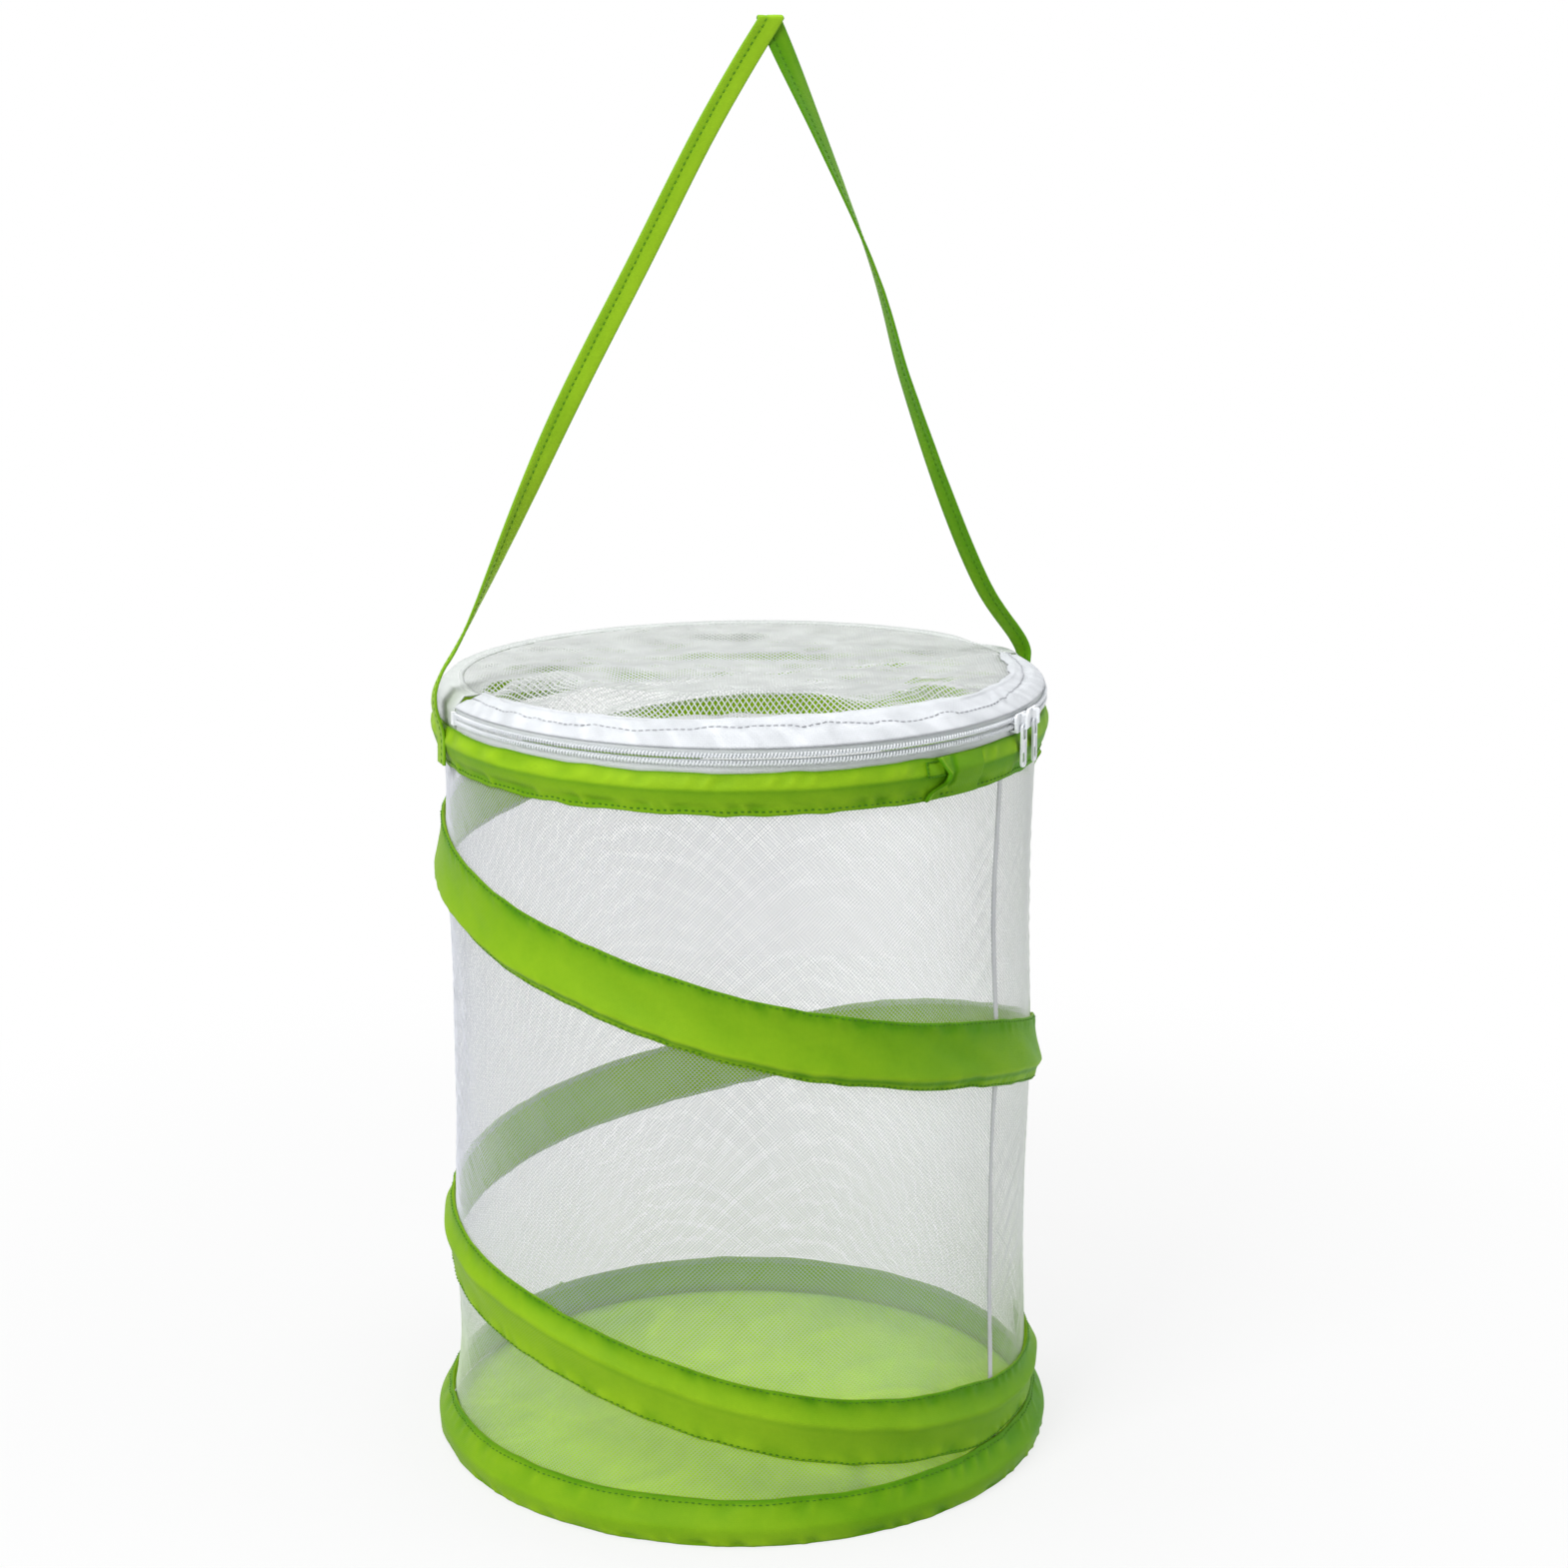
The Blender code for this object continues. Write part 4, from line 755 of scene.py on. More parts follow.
def sew(name, lines, radius, finish, body):
    """Place several lines of stitches as one piece."""
    starts, ends, normals = (np.concatenate(part) for part in zip(*lines))
    mesh = stitch_mesh(name, starts, ends, normals, radius)
    return place_piece(name, mesh, finish, body)


def section(outer, inner):
    """One row round a strip of cloth: over its face, and back along its underside."""
    return np.concatenate([outer, inner[::-1]])


def squash_wall(piece):
    """Give a piece of the net wall its own copy of its mesh."""
    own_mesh(piece)


def squash_coil(piece):
    """Give a piece of the coil or its sleeve its own copy of its mesh."""
    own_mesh(piece)


def bare_spans(angle, heights):
    """Spans of a thread that no sleeve covers, as pairs of heights."""
    covered = np.zeros(len(heights), bool)
    for sweep in coil_passes(angle):
        away = np.abs(heights - coil_middle(sweep)) - (coil_half(sweep) - SLEEVE_LAP)
        covered |= (away < 0) & (sweep < COIL_SWEEP)
    change = np.flatnonzero(np.diff(covered.astype(int)))
    cuts = [0, *(change + 1), len(heights)]
    spans = []
    for first, last in zip(cuts[:-1], cuts[1:]):
        if not covered[first] and last - first > 1:
            spans.append((heights[first], heights[last - 1]))
    return spans


def net_wall_routes(sizes):
    """The two families of slanted threads that make the wall's diamonds.

    The net is cut away behind the coil's sleeve and ends inside those of the hoops.
    """
    count = int(round(WALL_ROUND / sizes.net_cell))
    fine = np.arange(BASE_BAND_HEAD - SLEEVE_LAP, BAND_FOOT + SLEEVE_LAP, 0.0008)
    routes, normals = [], []
    for way in (1, -1):
        for n in range(count):
            start = FULL_TURN * n / count

            def angle_at(height):
                drift = waver2(start * 9, height / 0.030, 14) + waver2(start * 23, height / 0.05, 15)
                return start + (way * (height - WALL_FOOT) + sizes.net_drift * drift) / WALL_RADIUS

            for low, high in bare_spans(angle_at(fine), fine):
                steps = max(int(round((high - low) / sizes.net_step)), 2)
                heights = np.linspace(low, high, steps + 1)
                angle = angle_at(heights)
                depth = sizes.net_depth * (1.15 if way > 0 else 0.6)
                radius = wall_radius(heights) - depth - slack(angle, heights)
                routes.append(on_ring(radius, angle, heights))
                normals.append(on_ring(1.0, angle, 0.0))
    return routes, normals


def make_net_wall(sizes):
    """The wall's net, and the tape and stitches of its upright seam."""
    routes, normals = net_wall_routes(sizes)
    mesh = make_threads("wall_net", routes, normals, sizes.net_width, sizes.net_depth)
    net = place_piece("wall_net", mesh, "wall_net", "base", smooth=False)
    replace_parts(net, "wall_mesh")
    height = BAND_FOOT - BASE_BAND_HEAD + 2 * SLEEVE_LAP
    flat = (WALL_ROUND, height)
    cut = COIL_SWEEP * WALL_RADIUS * 0.026
    yarn_share = 0.60
    (flat[0] * flat[1] - cut) * yarn_share
    squash_wall(net)
    make_wall_seam()


def make_wall_seam():
    """The upright seam: a thin tape over the net's lapped edges, with two rows of stitches."""
    heights = np.linspace(WALL_FOOT + 0.0004, WALL_HEAD - 0.0004, 90)
    shares = np.linspace(-1, 1, 7)
    rows = []
    for height in heights:
        angle = SEAM_ANGLE + shares * SEAM_HALF / WALL_RADIUS
        face = wall_radius(height) - slack(angle, height)
        ripple = 0.0001 * waver(height / 0.006 + shares * 0.7, 4)
        front = on_ring(face + 0.0004 + ripple, angle, height)
        rows.append(section(front, on_ring(face, angle, height)))
    rows = np.array(rows)
    tape = place_piece(
        "wall_seam_strip", cloth_mesh("wall_seam_strip", rows), "seam", "base"
    )
    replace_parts(tape, "wall_seam_tape")
    squash_wall(tape)
    normals = np.repeat(on_ring(1.0, SEAM_ANGLE, 0.0)[None], len(rows), 0)
    lines = [stitch_line(rows[:, column], normals, SEAM_PITCH) for column in (1, 5)]
    squash_wall(sew("wall_seam_stitches", lines, SEAM_THREAD, "net", "base"))


def sleeve_depth(shares, wire, depth, edge):
    """Depth of a sleeve at shares from -1, its lower edge, to 1, its upper edge.

    The cloth lies flat beside both edges and is drawn out into a ridge over the wire.
    """
    reach = np.where(shares < wire, 1 + wire, 1 - wire)
    away = np.abs(shares - wire) / reach
    climb = 1 - (np.sqrt(away**2 + 0.006) - 0.0775) / (math.sqrt(1.006) - 0.0775)
    return edge + (depth - edge) * (0.30 * climb + 0.70 * climb**2.6)


def painted_side_shade(angle):
    """Painted shade: how much deeper the green of a sleeve is painted, most on the cage's right
    side, away from the light.
    """
    return 0.42 * np.clip(np.cos(angle - RIGHT_SIDE), 0, 1)


def coil_painted_shading(shares, wire, crease):
    """Painted light and shade of the coil's sleeve: painted shade at its hems and on the cloth above
    its ridge, a painted highlight on the ridge and painted shade in the crease under it.
    """
    rise = np.clip((1 - shares) / (1 - wire), 0, 1)
    tone = 0.44 + 0.26 * rise + 0.35 * crease * bell(shares - wire, 0.05)
    tone = tone - crease * bell(shares - wire + 0.15, 0.07)
    return tone - 0.34 * bell(1 - shares, 0.26) - 0.30 * bell(1 + shares, 0.08)


def make_coil_sleeve(sizes):
    """The nylon sleeve that winds twice round the wall, with its stitches."""
    over = 0.006 / WALL_RADIUS
    count = 1300
    sweeps = np.linspace(-over, COIL_SWEEP + over, count)
    shares = np.linspace(-1, 1, 33)
    angle = COIL_START + sweeps
    along = sweeps * WALL_RADIUS
    middle, half = coil_middle(sweeps), coil_half(sweeps)
    wire = 1.08 * read_coil(COIL_WIRE_SHARES, sweeps)
    wire = wire + 0.05 * waver(along / 0.060, 16)
    from_end = np.minimum(sweeps, COIL_SWEEP - sweeps) * WALL_RADIUS
    depth = 0.0050 + 0.0004 * np.clip(1 - from_end / 0.025, 0, 1) + 0.0003 * waver(along / 0.03, 18)
    sway = 0.00045 * waver(along / 0.028, 12) + 0.00025 * waver(along / 0.0085, 13)
    scallop = 1 + 0.018 * waver(along / 0.0085, 17)
    painted_crease_depth = read_coil(COIL_PAINTED_CREASES, sweeps)
    rows, fronts, painted_shading = [], [], []
    for n in range(count):
        heights = middle[n] + sway[n] + shares * half[n] * scallop[n]
        base = wall_radius(heights) + SLEEVE_OFF
        tent = sleeve_depth(shares, wire[n], depth[n], 0.0010)
        from_edge = 1 - np.abs(shares)
        side = np.where(shares > 0, 21, 29)
        crease = creases(along[n] / 0.0075 + shares * 0.9, side)
        fine = waver(along[n] / 0.0034 - shares, side + 4)
        pucker = sizes.pucker * (0.8 * crease + 0.35 * fine) * bell(from_edge, 0.30)
        pucker = pucker * (1 - bell(from_edge, 0.09))
        billow = 0.55 * sizes.pucker * from_edge * waver(along[n] / 0.019 + shares * 1.3, 31)
        tent = np.maximum(tent + pucker + billow, 0.0008)
        front = on_ring(base + tent, angle[n], heights)
        fronts.append(front)
        rows.append(section(front, on_ring(base, angle[n], heights)))
        # Painted shade on the cage's right side and a painted highlight on raised puckers; the inner
        # face is painted light.
        tone = coil_painted_shading(shares, wire[n], painted_crease_depth[n]) - painted_side_shade(angle[n])
        tone = tone + (pucker + 0.5 * billow) / sizes.pucker * 0.28
        painted_shading.append(np.concatenate([tone, np.full(len(shares), 0.95)]))
    mesh = cloth_mesh("coil_sleeve", np.array(rows), painted_shading=np.clip(painted_shading, 0, 1))
    sleeve = place_piece("coil_sleeve", mesh, "nylon", "base")
    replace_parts(sleeve, "coil_casing")
    squash_coil(sleeve)
    fronts = np.array(fronts)
    normal = on_ring(1.0, angle, 0.0)
    lines = []
    for column, seed in ((1, 41), (-2, 43)):
        line = stitch_line(fronts[:, column], normal, sizes.stitch, STITCH_GAP, 0.0003, seed)
        lines.append(line)
    squash_coil(
        sew("coil_sleeve_stitches", lines, sizes.thread, "green_thread", "base")
    )


def make_coil_spring():
    """The sprung wire inside the coil's sleeve, and the cap on its lower end."""
    sweeps = np.linspace(0, COIL_SWEEP, 420)
    height = coil_middle(sweeps) + read_coil(COIL_WIRE_SHARES, sweeps) * coil_half(sweeps)
    radius = wall_radius(height) + SLEEVE_OFF + 0.0018
    route = on_ring(radius, COIL_START + sweeps, height)
    normal = on_ring(1.0, COIL_START + sweeps, 0.0)
    mesh = yarn_mesh("coil_spring", route, normal, 0.0009, 8)
    spring = place_piece("coil_spring", mesh, "steel", "base")
    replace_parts(spring, "coil_wire")
    squash_coil(spring)
    end = route[-1] + (route[-1] - route[-2]) * np.linspace(-1.1, 0.9, 7)[:, None]
    mesh = yarn_mesh("coil_spring_cap", end, np.repeat(normal[-1:], 7, 0), 0.0014, 12)
    cap = place_piece("coil_spring_cap", mesh, "cap", "base")
    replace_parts(cap, "coil_wire_cap_lower")
    squash_coil(cap)


def hoop_sleeve_rows(levels, painted_shades, angles, seeds, pucker, scallop):
    """Rows of a hoop's sleeve through levels of (height, face, depth) from foot to head."""
    levels = np.array(levels)
    places = np.linspace(0, len(levels) - 1, 33)
    height = smooth_values(levels[:, 0], places)
    face = smooth_values(levels[:, 1], places)
    depth = smooth_values(levels[:, 2], places)
    share = places / places[-1]
    tone = smooth_values(painted_shades, share * (len(painted_shades) - 1))
    rows, fronts, painted_shading = [], [], []
    for angle in angles:
        along = angle * WALL_RADIUS
        foot_sway = bell(share, 0.16) * waver(along / 0.0085, seeds[0])
        head_sway = bell(1 - share, 0.16) * waver(along / 0.011, seeds[1])
        low_crease = bell(share - 0.17, 0.13) * creases(along / 0.0078 + share, seeds[2])
        high_crease = 0.7 * bell(share - 0.83, 0.13) * creases(along / 0.0085 - share, seeds[3])
        billow = waver(along / 0.023 + share * 1.4, seeds[4]) * (4 * share * (1 - share))
        swell = pucker * 0.8 * (low_crease + high_crease) + 0.35 * pucker * billow
        lifted = np.maximum(height + scallop * (foot_sway + head_sway), 0.0001)
        outer = on_ring(face + np.maximum(depth + swell, 0.0008), angle, lifted)
        fronts.append(outer)
        rows.append(section(outer, on_ring(face, angle, lifted)))
        # Painted highlight on raised puckers and painted shade on the cage's right side; the inner
        # face is painted light.
        shown = tone + 0.28 * swell / pucker - painted_side_shade(angle)
        painted_shading.append(np.concatenate([shown, tone * 0 + 0.95]))
    return np.array(rows), np.array(fronts), np.clip(painted_shading, 0, 1)


def make_hoop_sleeve(name, node, body, levels, painted_shades, stitches, sizes, seeds, scallop):
    """A closed ring of nylon over a hoop, with its stitches."""
    angles = np.linspace(0, FULL_TURN, 661)[:-1]
    rows, fronts, painted_shading = hoop_sleeve_rows(levels, painted_shades, angles, seeds, sizes.pucker, scallop)
    rows, fronts = blend_ends(rows), blend_ends(fronts)
    mesh = cloth_mesh(name, rows, ring=True, painted_shading=painted_shading)
    sleeve = place_piece(name, mesh, "nylon", body)
    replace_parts(sleeve, node)
    normal = on_ring(1.0, np.append(angles, angles[0]), 0.0)
    column, seed = stitches
    route = np.concatenate([fronts[:, column], fronts[:1, column]])
    lines = [stitch_line(route, normal, sizes.stitch, STITCH_GAP, 0.00025, seed)]
    sew(name + "_stitches", lines, sizes.thread, "green_thread", body)


def blend_ends(rows):
    """Make a ring's last rows run on into its first."""
    count, reach = len(rows), 16
    out = rows.copy()

    def turned(row, steps):
        return row @ np.array(Matrix.Rotation(FULL_TURN * steps / count, 3, "Z")).T

    drift = turned(rows[-1], 1) - rows[0]
    for n in range(reach):
        index = count - reach + n
        out[index] = rows[index] - (n + 1) / (reach + 1) * turned(drift, index - count)
    return out


def make_hoop_sleeves(sizes):
    """The sleeves round the two hoops, and the tucks that close them."""
    make_hoop_sleeve(
        "bottom_sleeve", "bottom_casing", "base", BASE_LEVELS, BASE_PAINTED_SHADING, (-4, 51), sizes,
        (61, 62, 63, 64, 65), 0.0004,
    )
    make_hoop_sleeve(
        "top_sleeve", "top_casing", "top_frame", BAND_LEVELS, BAND_PAINTED_SHADING, (3, 53), sizes,
        (71, 72, 73, 74, 75), 0.0005,
    )
    make_tuck(
        "top_sleeve_tuck", "top_casing_join", "top_frame", BAND_LEVELS, BAND_JOIN_ANGLE, sizes
    )
    make_tuck(
        "bottom_sleeve_tuck", "bottom_casing_join", "base", BASE_LEVELS, BASE_JOIN_ANGLE, sizes
    )


def make_tuck(name, node, body, levels, join_angle, sizes):
    """The lapped end of a sleeve: its folded edge stands up, and a stitched tab lies beside it."""
    levels = np.array(levels)
    places = np.linspace(0, len(levels) - 1, 21)
    height = smooth_values(levels[:, 0], places)
    face = smooth_values(levels[:, 1] + levels[:, 2], places)
    share = places / places[-1]
    radius = float(levels[3, 1])
    edge = smooth_values((-0.0085, -0.0050, 0.0005, 0.0018, -0.0008, -0.0030), share * 5)
    rows, painted_shading = [], []
    for step in np.linspace(0, 1, 56):
        along = edge + (0.024 - edge) * step
        roll = 0.0020 * bell(step, 0.07) + 0.0009 * (1 - step)
        crease = bell(step - 0.15 - 0.35 * np.abs(share - 0.5), 0.05)
        # Painted highlight on the rolled edge, painted shade in the crease, a painted shadow line
        # along the folded edge and painted shade on the cage's right side; the underside is painted
        # dark as shade.
        tone = 0.55 + 0.35 * bell(step - 0.05, 0.035) - 0.45 * crease - 0.6 * bell(step, 0.016)
        tone = tone - 1.3 * painted_side_shade(join_angle + along / radius)
        painted_shading.append(np.concatenate([tone, np.full(len(share), 0.2)]))
        fold = 0.0005 * (1 - step) * waver(share * 4 + step * 2, 7)
        rise = np.maximum(0.0002 + roll - 0.0011 * crease + fold, 0.0002)
        angle = join_angle + along / radius
        outer = on_ring(face + rise, angle, height)
        rows.append(section(outer, on_ring(face - 0.0002, angle, height)))
    mesh = cloth_mesh(name, np.array(rows), painted_shading=np.clip(painted_shading, 0, 1))
    tuck = place_piece(name, mesh, "nylon", body)
    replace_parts(tuck, node)
    make_tab(name.replace("tuck", "tab"), body, (height, face, share), join_angle, radius, sizes)


def make_tab(name, body, table, join_angle, radius, sizes):
    """The small square end that is sewn down beside a tuck."""
    heights, faces, shares = table
    up = np.linspace(0.60, 0.93, 7)
    height, face = np.interp(up, shares, heights), np.interp(up, shares, faces)
    rows = []
    for along in np.linspace(-0.0090, 0.0003, 9):
        rise = 0.0007 + 0.0002 * np.sin(along * 900 + up * 9)
        angle = join_angle + along / radius
        outer = on_ring(face + rise, angle, height)
        rows.append(section(outer, on_ring(face - 0.0002, angle, height)))
    rows = np.array(rows)
    # Painted shade on the cage's right side, and a painted shadow round the tab's edges and on its
    # underside.
    tone = np.full(rows.shape[:2], 0.62 - painted_side_shade(join_angle))
    tone[[0, -1]] = tone[:, [0, 6]] = tone[:, 7:] = 0.0
    mesh = cloth_mesh(name, rows, painted_shading=tone)
    place_piece(name, mesh, "nylon", body)
    lift = on_ring(0.0002, join_angle, 0.0)
    lines = []
    for line in (rows[:, 0] + lift, rows[0, :7] + lift, rows[:, 6] + lift):
        normal = np.repeat(on_ring(1.0, join_angle, 0.0)[None], len(line), 0)
        lines.append(stitch_line(line, normal, 0.0016, 0.2))
    sew(name + "_stitches", lines, sizes.thread, "green_thread", body)


def make_floor_cloth():
    """The floor: a crumpled disc of nylon, flat underneath."""
    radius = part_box("floor_panel")[1][0]
    rings, turns = 46, 150
    reach = np.linspace(0.004, 1, rings) ** 0.9 * radius
    angle = np.linspace(0, FULL_TURN, turns + 1)[:-1]
    r, a = np.meshgrid(reach, angle, indexing="ij")
    x, y = r * np.cos(a), r * np.sin(a)
    lift = floor_lift(x, y, radius)
    top = np.stack([x, y, 0.0008 + lift], -1)
    under = np.stack([x, y, np.full_like(x, 0.0001)], -1)
    verts = np.concatenate([top.reshape(-1, 3), under.reshape(-1, 3)])
    bend = 2 * lift - floor_lift(x + 0.002, y, radius) - floor_lift(x, y - 0.004, radius)
    faces = []
    offset = rings * turns
    for i in range(rings - 1):
        for j in range(turns):
            k = (j + 1) % turns
            p, q, s, t = i * turns + j, i * turns + k, (i + 1) * turns + k, (i + 1) * turns + j
            faces.append((p, t, s, q))
            faces.append((offset + p, offset + q, offset + s, offset + t))
    faces.append(list(range(turns)))
    faces.append(list(range(offset, offset + turns))[::-1])
    last = (rings - 1) * turns
    for j in range(turns):
        k = (j + 1) % turns
        faces.append((last + j, offset + last + j, offset + last + k, last + k))
    mesh = new_mesh("floor_cloth", verts, faces)
    layer = mesh.uv_layers.new(name="cloth")
    corners = np.empty(len(mesh.loops), int)
    mesh.loops.foreach_get("vertex_index", corners)
    layer.data.foreach_set("uv", verts[corners, :2].reshape(-1))
    turn_outward(mesh)
    # Painted light on the crests of the floor's folds and painted shade in its creases, from how its
    # folds bend.
    shown = np.clip(0.55 + bend.reshape(-1) / 0.0012, 0, 1)
    add_painted_shading(mesh, np.concatenate([shown, np.full(offset, 0.5)]))
    floor = place_piece("floor_cloth", mesh, "floor", "base")
    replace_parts(floor, "floor_panel")


def floor_lift(x, y, radius):
    """The floor's folds, which run in from its edge and die away towards its middle."""
    a, r = np.arctan2(y, x), np.hypot(x, y) / radius
    inward = np.clip((r - 0.25) / 0.6, 0, 1) * np.clip((1 - r) / 0.06, 0, 1)
    rays = waver(a * 7 + 0.9 * np.sin(r * 9), 81)
    rays = np.clip(rays, 0, 1) ** 1.5
    side = 0.45 + 0.9 * bell(angle_between(a, math.radians(-58)), 0.5)
    swell = 0.5 + 0.5 * waver2(x / 0.045, y / 0.045, 83)
    fine = 0.5 + 0.5 * waver2(x / 0.013 + 3, y / 0.013, 85)
    edge = np.clip((1 - r) / 0.05, 0, 1)
    return 0.0034 * rays * inward * side + edge * (0.0011 * swell + 0.0005 * fine)


def net_top_routes(low_y, high_y, sizes):
    """Threads of half of the net top, clipped to the rim and to the fold line."""
    pitch = sizes.top_cell * math.sqrt(0.5)
    radius = RIM_RADIUS - 0.0004
    routes, normals = [], []
    for turn, depth, seed in ((math.radians(25), 0.25, 18), (math.radians(115), -0.25, 19)):
        along = np.array([math.cos(turn), math.sin(turn)])
        across = np.array([-along[1], along[0]])
        for n in range(-int(radius / pitch), int(radius / pitch) + 1):
            base = across * n * pitch
            reach = math.sqrt(max(radius**2 - (n * pitch) ** 2, 0))
            first, last = sorted(((low_y - base[1]) / along[1], (high_y - base[1]) / along[1]))
            start, end = max(-reach, first), min(reach, last)
            if end - start < 0.003:
                continue
            steps = np.linspace(start, end, max(int((end - start) / sizes.top_step), 1) + 1)
            flat = base + steps[:, None] * along
            x, y = flat[:, 0], flat[:, 1]
            sway = sizes.net_drift * waver2(x / 0.022, y / 0.022, seed)
            x, y = x + sway * across[0], y + sway * across[1]
            lift = top_height(x, y) + depth * sizes.top_depth
            routes.append(np.stack([x, y, lift], -1))
            normals.append(np.repeat([[0.0, 0.0, 1.0]], len(x), 0))
    return routes, normals


def make_net_half(name, node, body, low_y, high_y, sizes):
    """Half of the net top."""
    routes, normals = net_top_routes(low_y, high_y, sizes)
    mesh = make_threads(name, routes, normals, sizes.top_width, sizes.top_depth)
    net = place_piece(name, mesh, "net", body, smooth=False)
    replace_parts(net, node)


def make_net_top(sizes):
    """The net top: the flap in front of its fold and the fixed half behind it."""
    make_net_half(
        "flap_net", "flap_mesh", "lid_flap", -RIM_RADIUS, FOLD_LINE - FOLD_GAP, sizes,
    )
    make_net_half(
        "back_net", "top_panel_mesh", "top_frame", FOLD_LINE + FOLD_GAP, RIM_RADIUS, sizes,
    )


def front_angles(trim, count):
    """Angles round the front half of the rim, less a trim at each end."""
    end = math.asin(-FOLD_LINE / TAPE_RADIUS) + trim / TAPE_RADIUS
    return np.linspace(-math.pi + end, -end, count)


def strip_rows(profile_at, angles, thickness):
    """Rows of a thin strip round the ring from its profile of (radius, height) at each angle."""
    rows = []
    for angle in angles:
        radius, height = profile_at(angle)
        ahead_r, ahead_h = np.gradient(radius), np.gradient(height)
        size = np.hypot(ahead_r, ahead_h)
        out_r, out_h = ahead_h / size, -ahead_r / size
        outer = on_ring(radius + out_r * thickness, angle, height + out_h * thickness)
        rows.append(section(outer, on_ring(radius, angle, height)))
    return np.array(rows)


def lower_tape_profile(angle):
    """The zip tape on the hoop: tucked into the sleeve, then upright behind the chain."""
    height = np.linspace(TAPE_FOOT - 0.0030, TAPE_HEAD + CHAIN_CLOSE, 7)
    radius = TAPE_RADIUS - np.array([0.0010, 0.0009, 0.0001, 0, 0, 0, 0])
    return radius + 0.0001 * waver(angle * 60 + height * 200, 91), height


def upper_tape_profile(angle):
    """The zip tape on the flap: upright behind the chain, then leaning in over the cage."""
    rim = rim_height(angle)
    foot = CHAIN_HEIGHT + 0.00055 - CHAIN_CLOSE
    lean_r = TAPE_RADIUS - 0.38 * (TAPE_RADIUS - RIM_RADIUS)
    lean_h = SHOULDER_HEIGHT + 0.38 * (rim - SHOULDER_HEIGHT)
    bend = SHOULDER_HEIGHT - 0.0002
    height = np.array([foot, foot + 0.0013, foot + 0.0026, bend, bend + 0.0007, lean_h])
    radius = np.array([0, 0, 0, -0.0001, -0.0007, lean_r - TAPE_RADIUS]) + TAPE_RADIUS
    return radius + 0.0001 * waver(angle * 45, 92), height


def border_profile(angle):
    """The white binding of the flap, from the zip tape over the rim to its lap on the net.

    Also gives the share of the way from the zip, 0, to the net's rim, 1, of each point.
    """
    rim = rim_height(angle)
    share = np.concatenate([[0.0, 0.03], np.linspace(0.10, 1, 10)])
    radius = TAPE_RADIUS + (RIM_RADIUS - TAPE_RADIUS) * share
    radius[:2] += 0.0009, 0.0007
    along = angle * RIM_RADIUS
    bulge = np.sin(np.clip(share - 0.06, 0, 1) / 0.94 * math.pi)
    wave = 0.0010 * waver(along / 0.014 + share * 2, 95) + 0.0007 * waver(along / 0.005 - share, 96)
    over_tape = 0.0009 * np.clip((0.55 - share) / 0.15, 0, 1)
    height = SHOULDER_HEIGHT + (rim - SHOULDER_HEIGHT) * share + over_tape
    height = height + bulge * (0.0004 + np.maximum(wave, -0.0005))
    height[:2] = SHOULDER_HEIGHT - 0.0002, SHOULDER_HEIGHT + 0.0005
    lap = np.linspace(0, 1, BORDER_PLACES - 11)[1:]
    inner = RIM_RADIUS - lap * max(float(lip_width(angle)), 0.0012)
    lap_height = top_height(inner * math.cos(angle), inner * math.sin(angle))
    crown = np.sin(lap * math.pi) * min(float(lip_width(angle)) * 0.05, 0.0004)
    ripple = 0.0004 * waver(along / 0.008 + lap * 2, 93) * lap
    lap_height = lap_height + 0.0005 + crown + ripple
    share = np.concatenate([share, 1 + 0.4 * lap])
    return np.concatenate([radius, inner]), np.concatenate([height, lap_height]), share


def make_rim(sizes):
    """The cloth round the net top: the flap's binding, the back half's tape, and their stitches."""
    trim = 0.0008
    end = math.asin(-FOLD_LINE / RIM_RADIUS)
    angles = np.linspace(-math.pi + end + trim / RIM_RADIUS, -end - trim / RIM_RADIUS, 420)
    rows = strip_rows(lambda a: border_profile(a)[:2], angles, 0.0008)
    spread = np.linspace(0, len(STITCH_SHARES) - 1, len(angles))
    wanted = smooth_values(STITCH_SHARES, spread) + 0.05 * waver(spread * 3.1, 97)
    painted_shading = []
    for angle, want in zip(angles, wanted):
        share = border_profile(angle)[2]
        # Painted light and shade over the binding's wrinkles, and painted shade in the groove of its
        # stitch line.
        crease = waver(angle * RIM_RADIUS / 0.0035 + share * 3, 102)
        tone = 0.76 + 0.18 * crease * np.clip(1.3 - share, 0, 1)
        tone = tone - 0.35 * bell(share - want, 0.045)
        painted_shading.append(np.concatenate([tone, np.full(BORDER_PLACES, 0.6)]))
    mesh = cloth_mesh("flap_border", rows, painted_shading=np.clip(painted_shading, 0, 1))
    border = place_piece("flap_border", mesh, "tape", "lid_flap")
    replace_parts(border, "flap_binding")
    fronts = rows[:, :BORDER_PLACES]
    route = []
    for row, angle, want in zip(fronts, angles, wanted):
        share = border_profile(angle)[2]
        route.append([np.interp(want, share, row[:, n]) for n in range(3)])
    route = np.array(route)
    normal = on_ring(0.35, angles, 1.0)
    lines = [stitch_line(route, normal, sizes.stitch, 0.12, 0.0003, 98)]
    thread = sizes.thread * 1.1
    sew("flap_border_stitches", lines, thread, "grey_thread", "lid_flap")
    make_back_border(sizes)


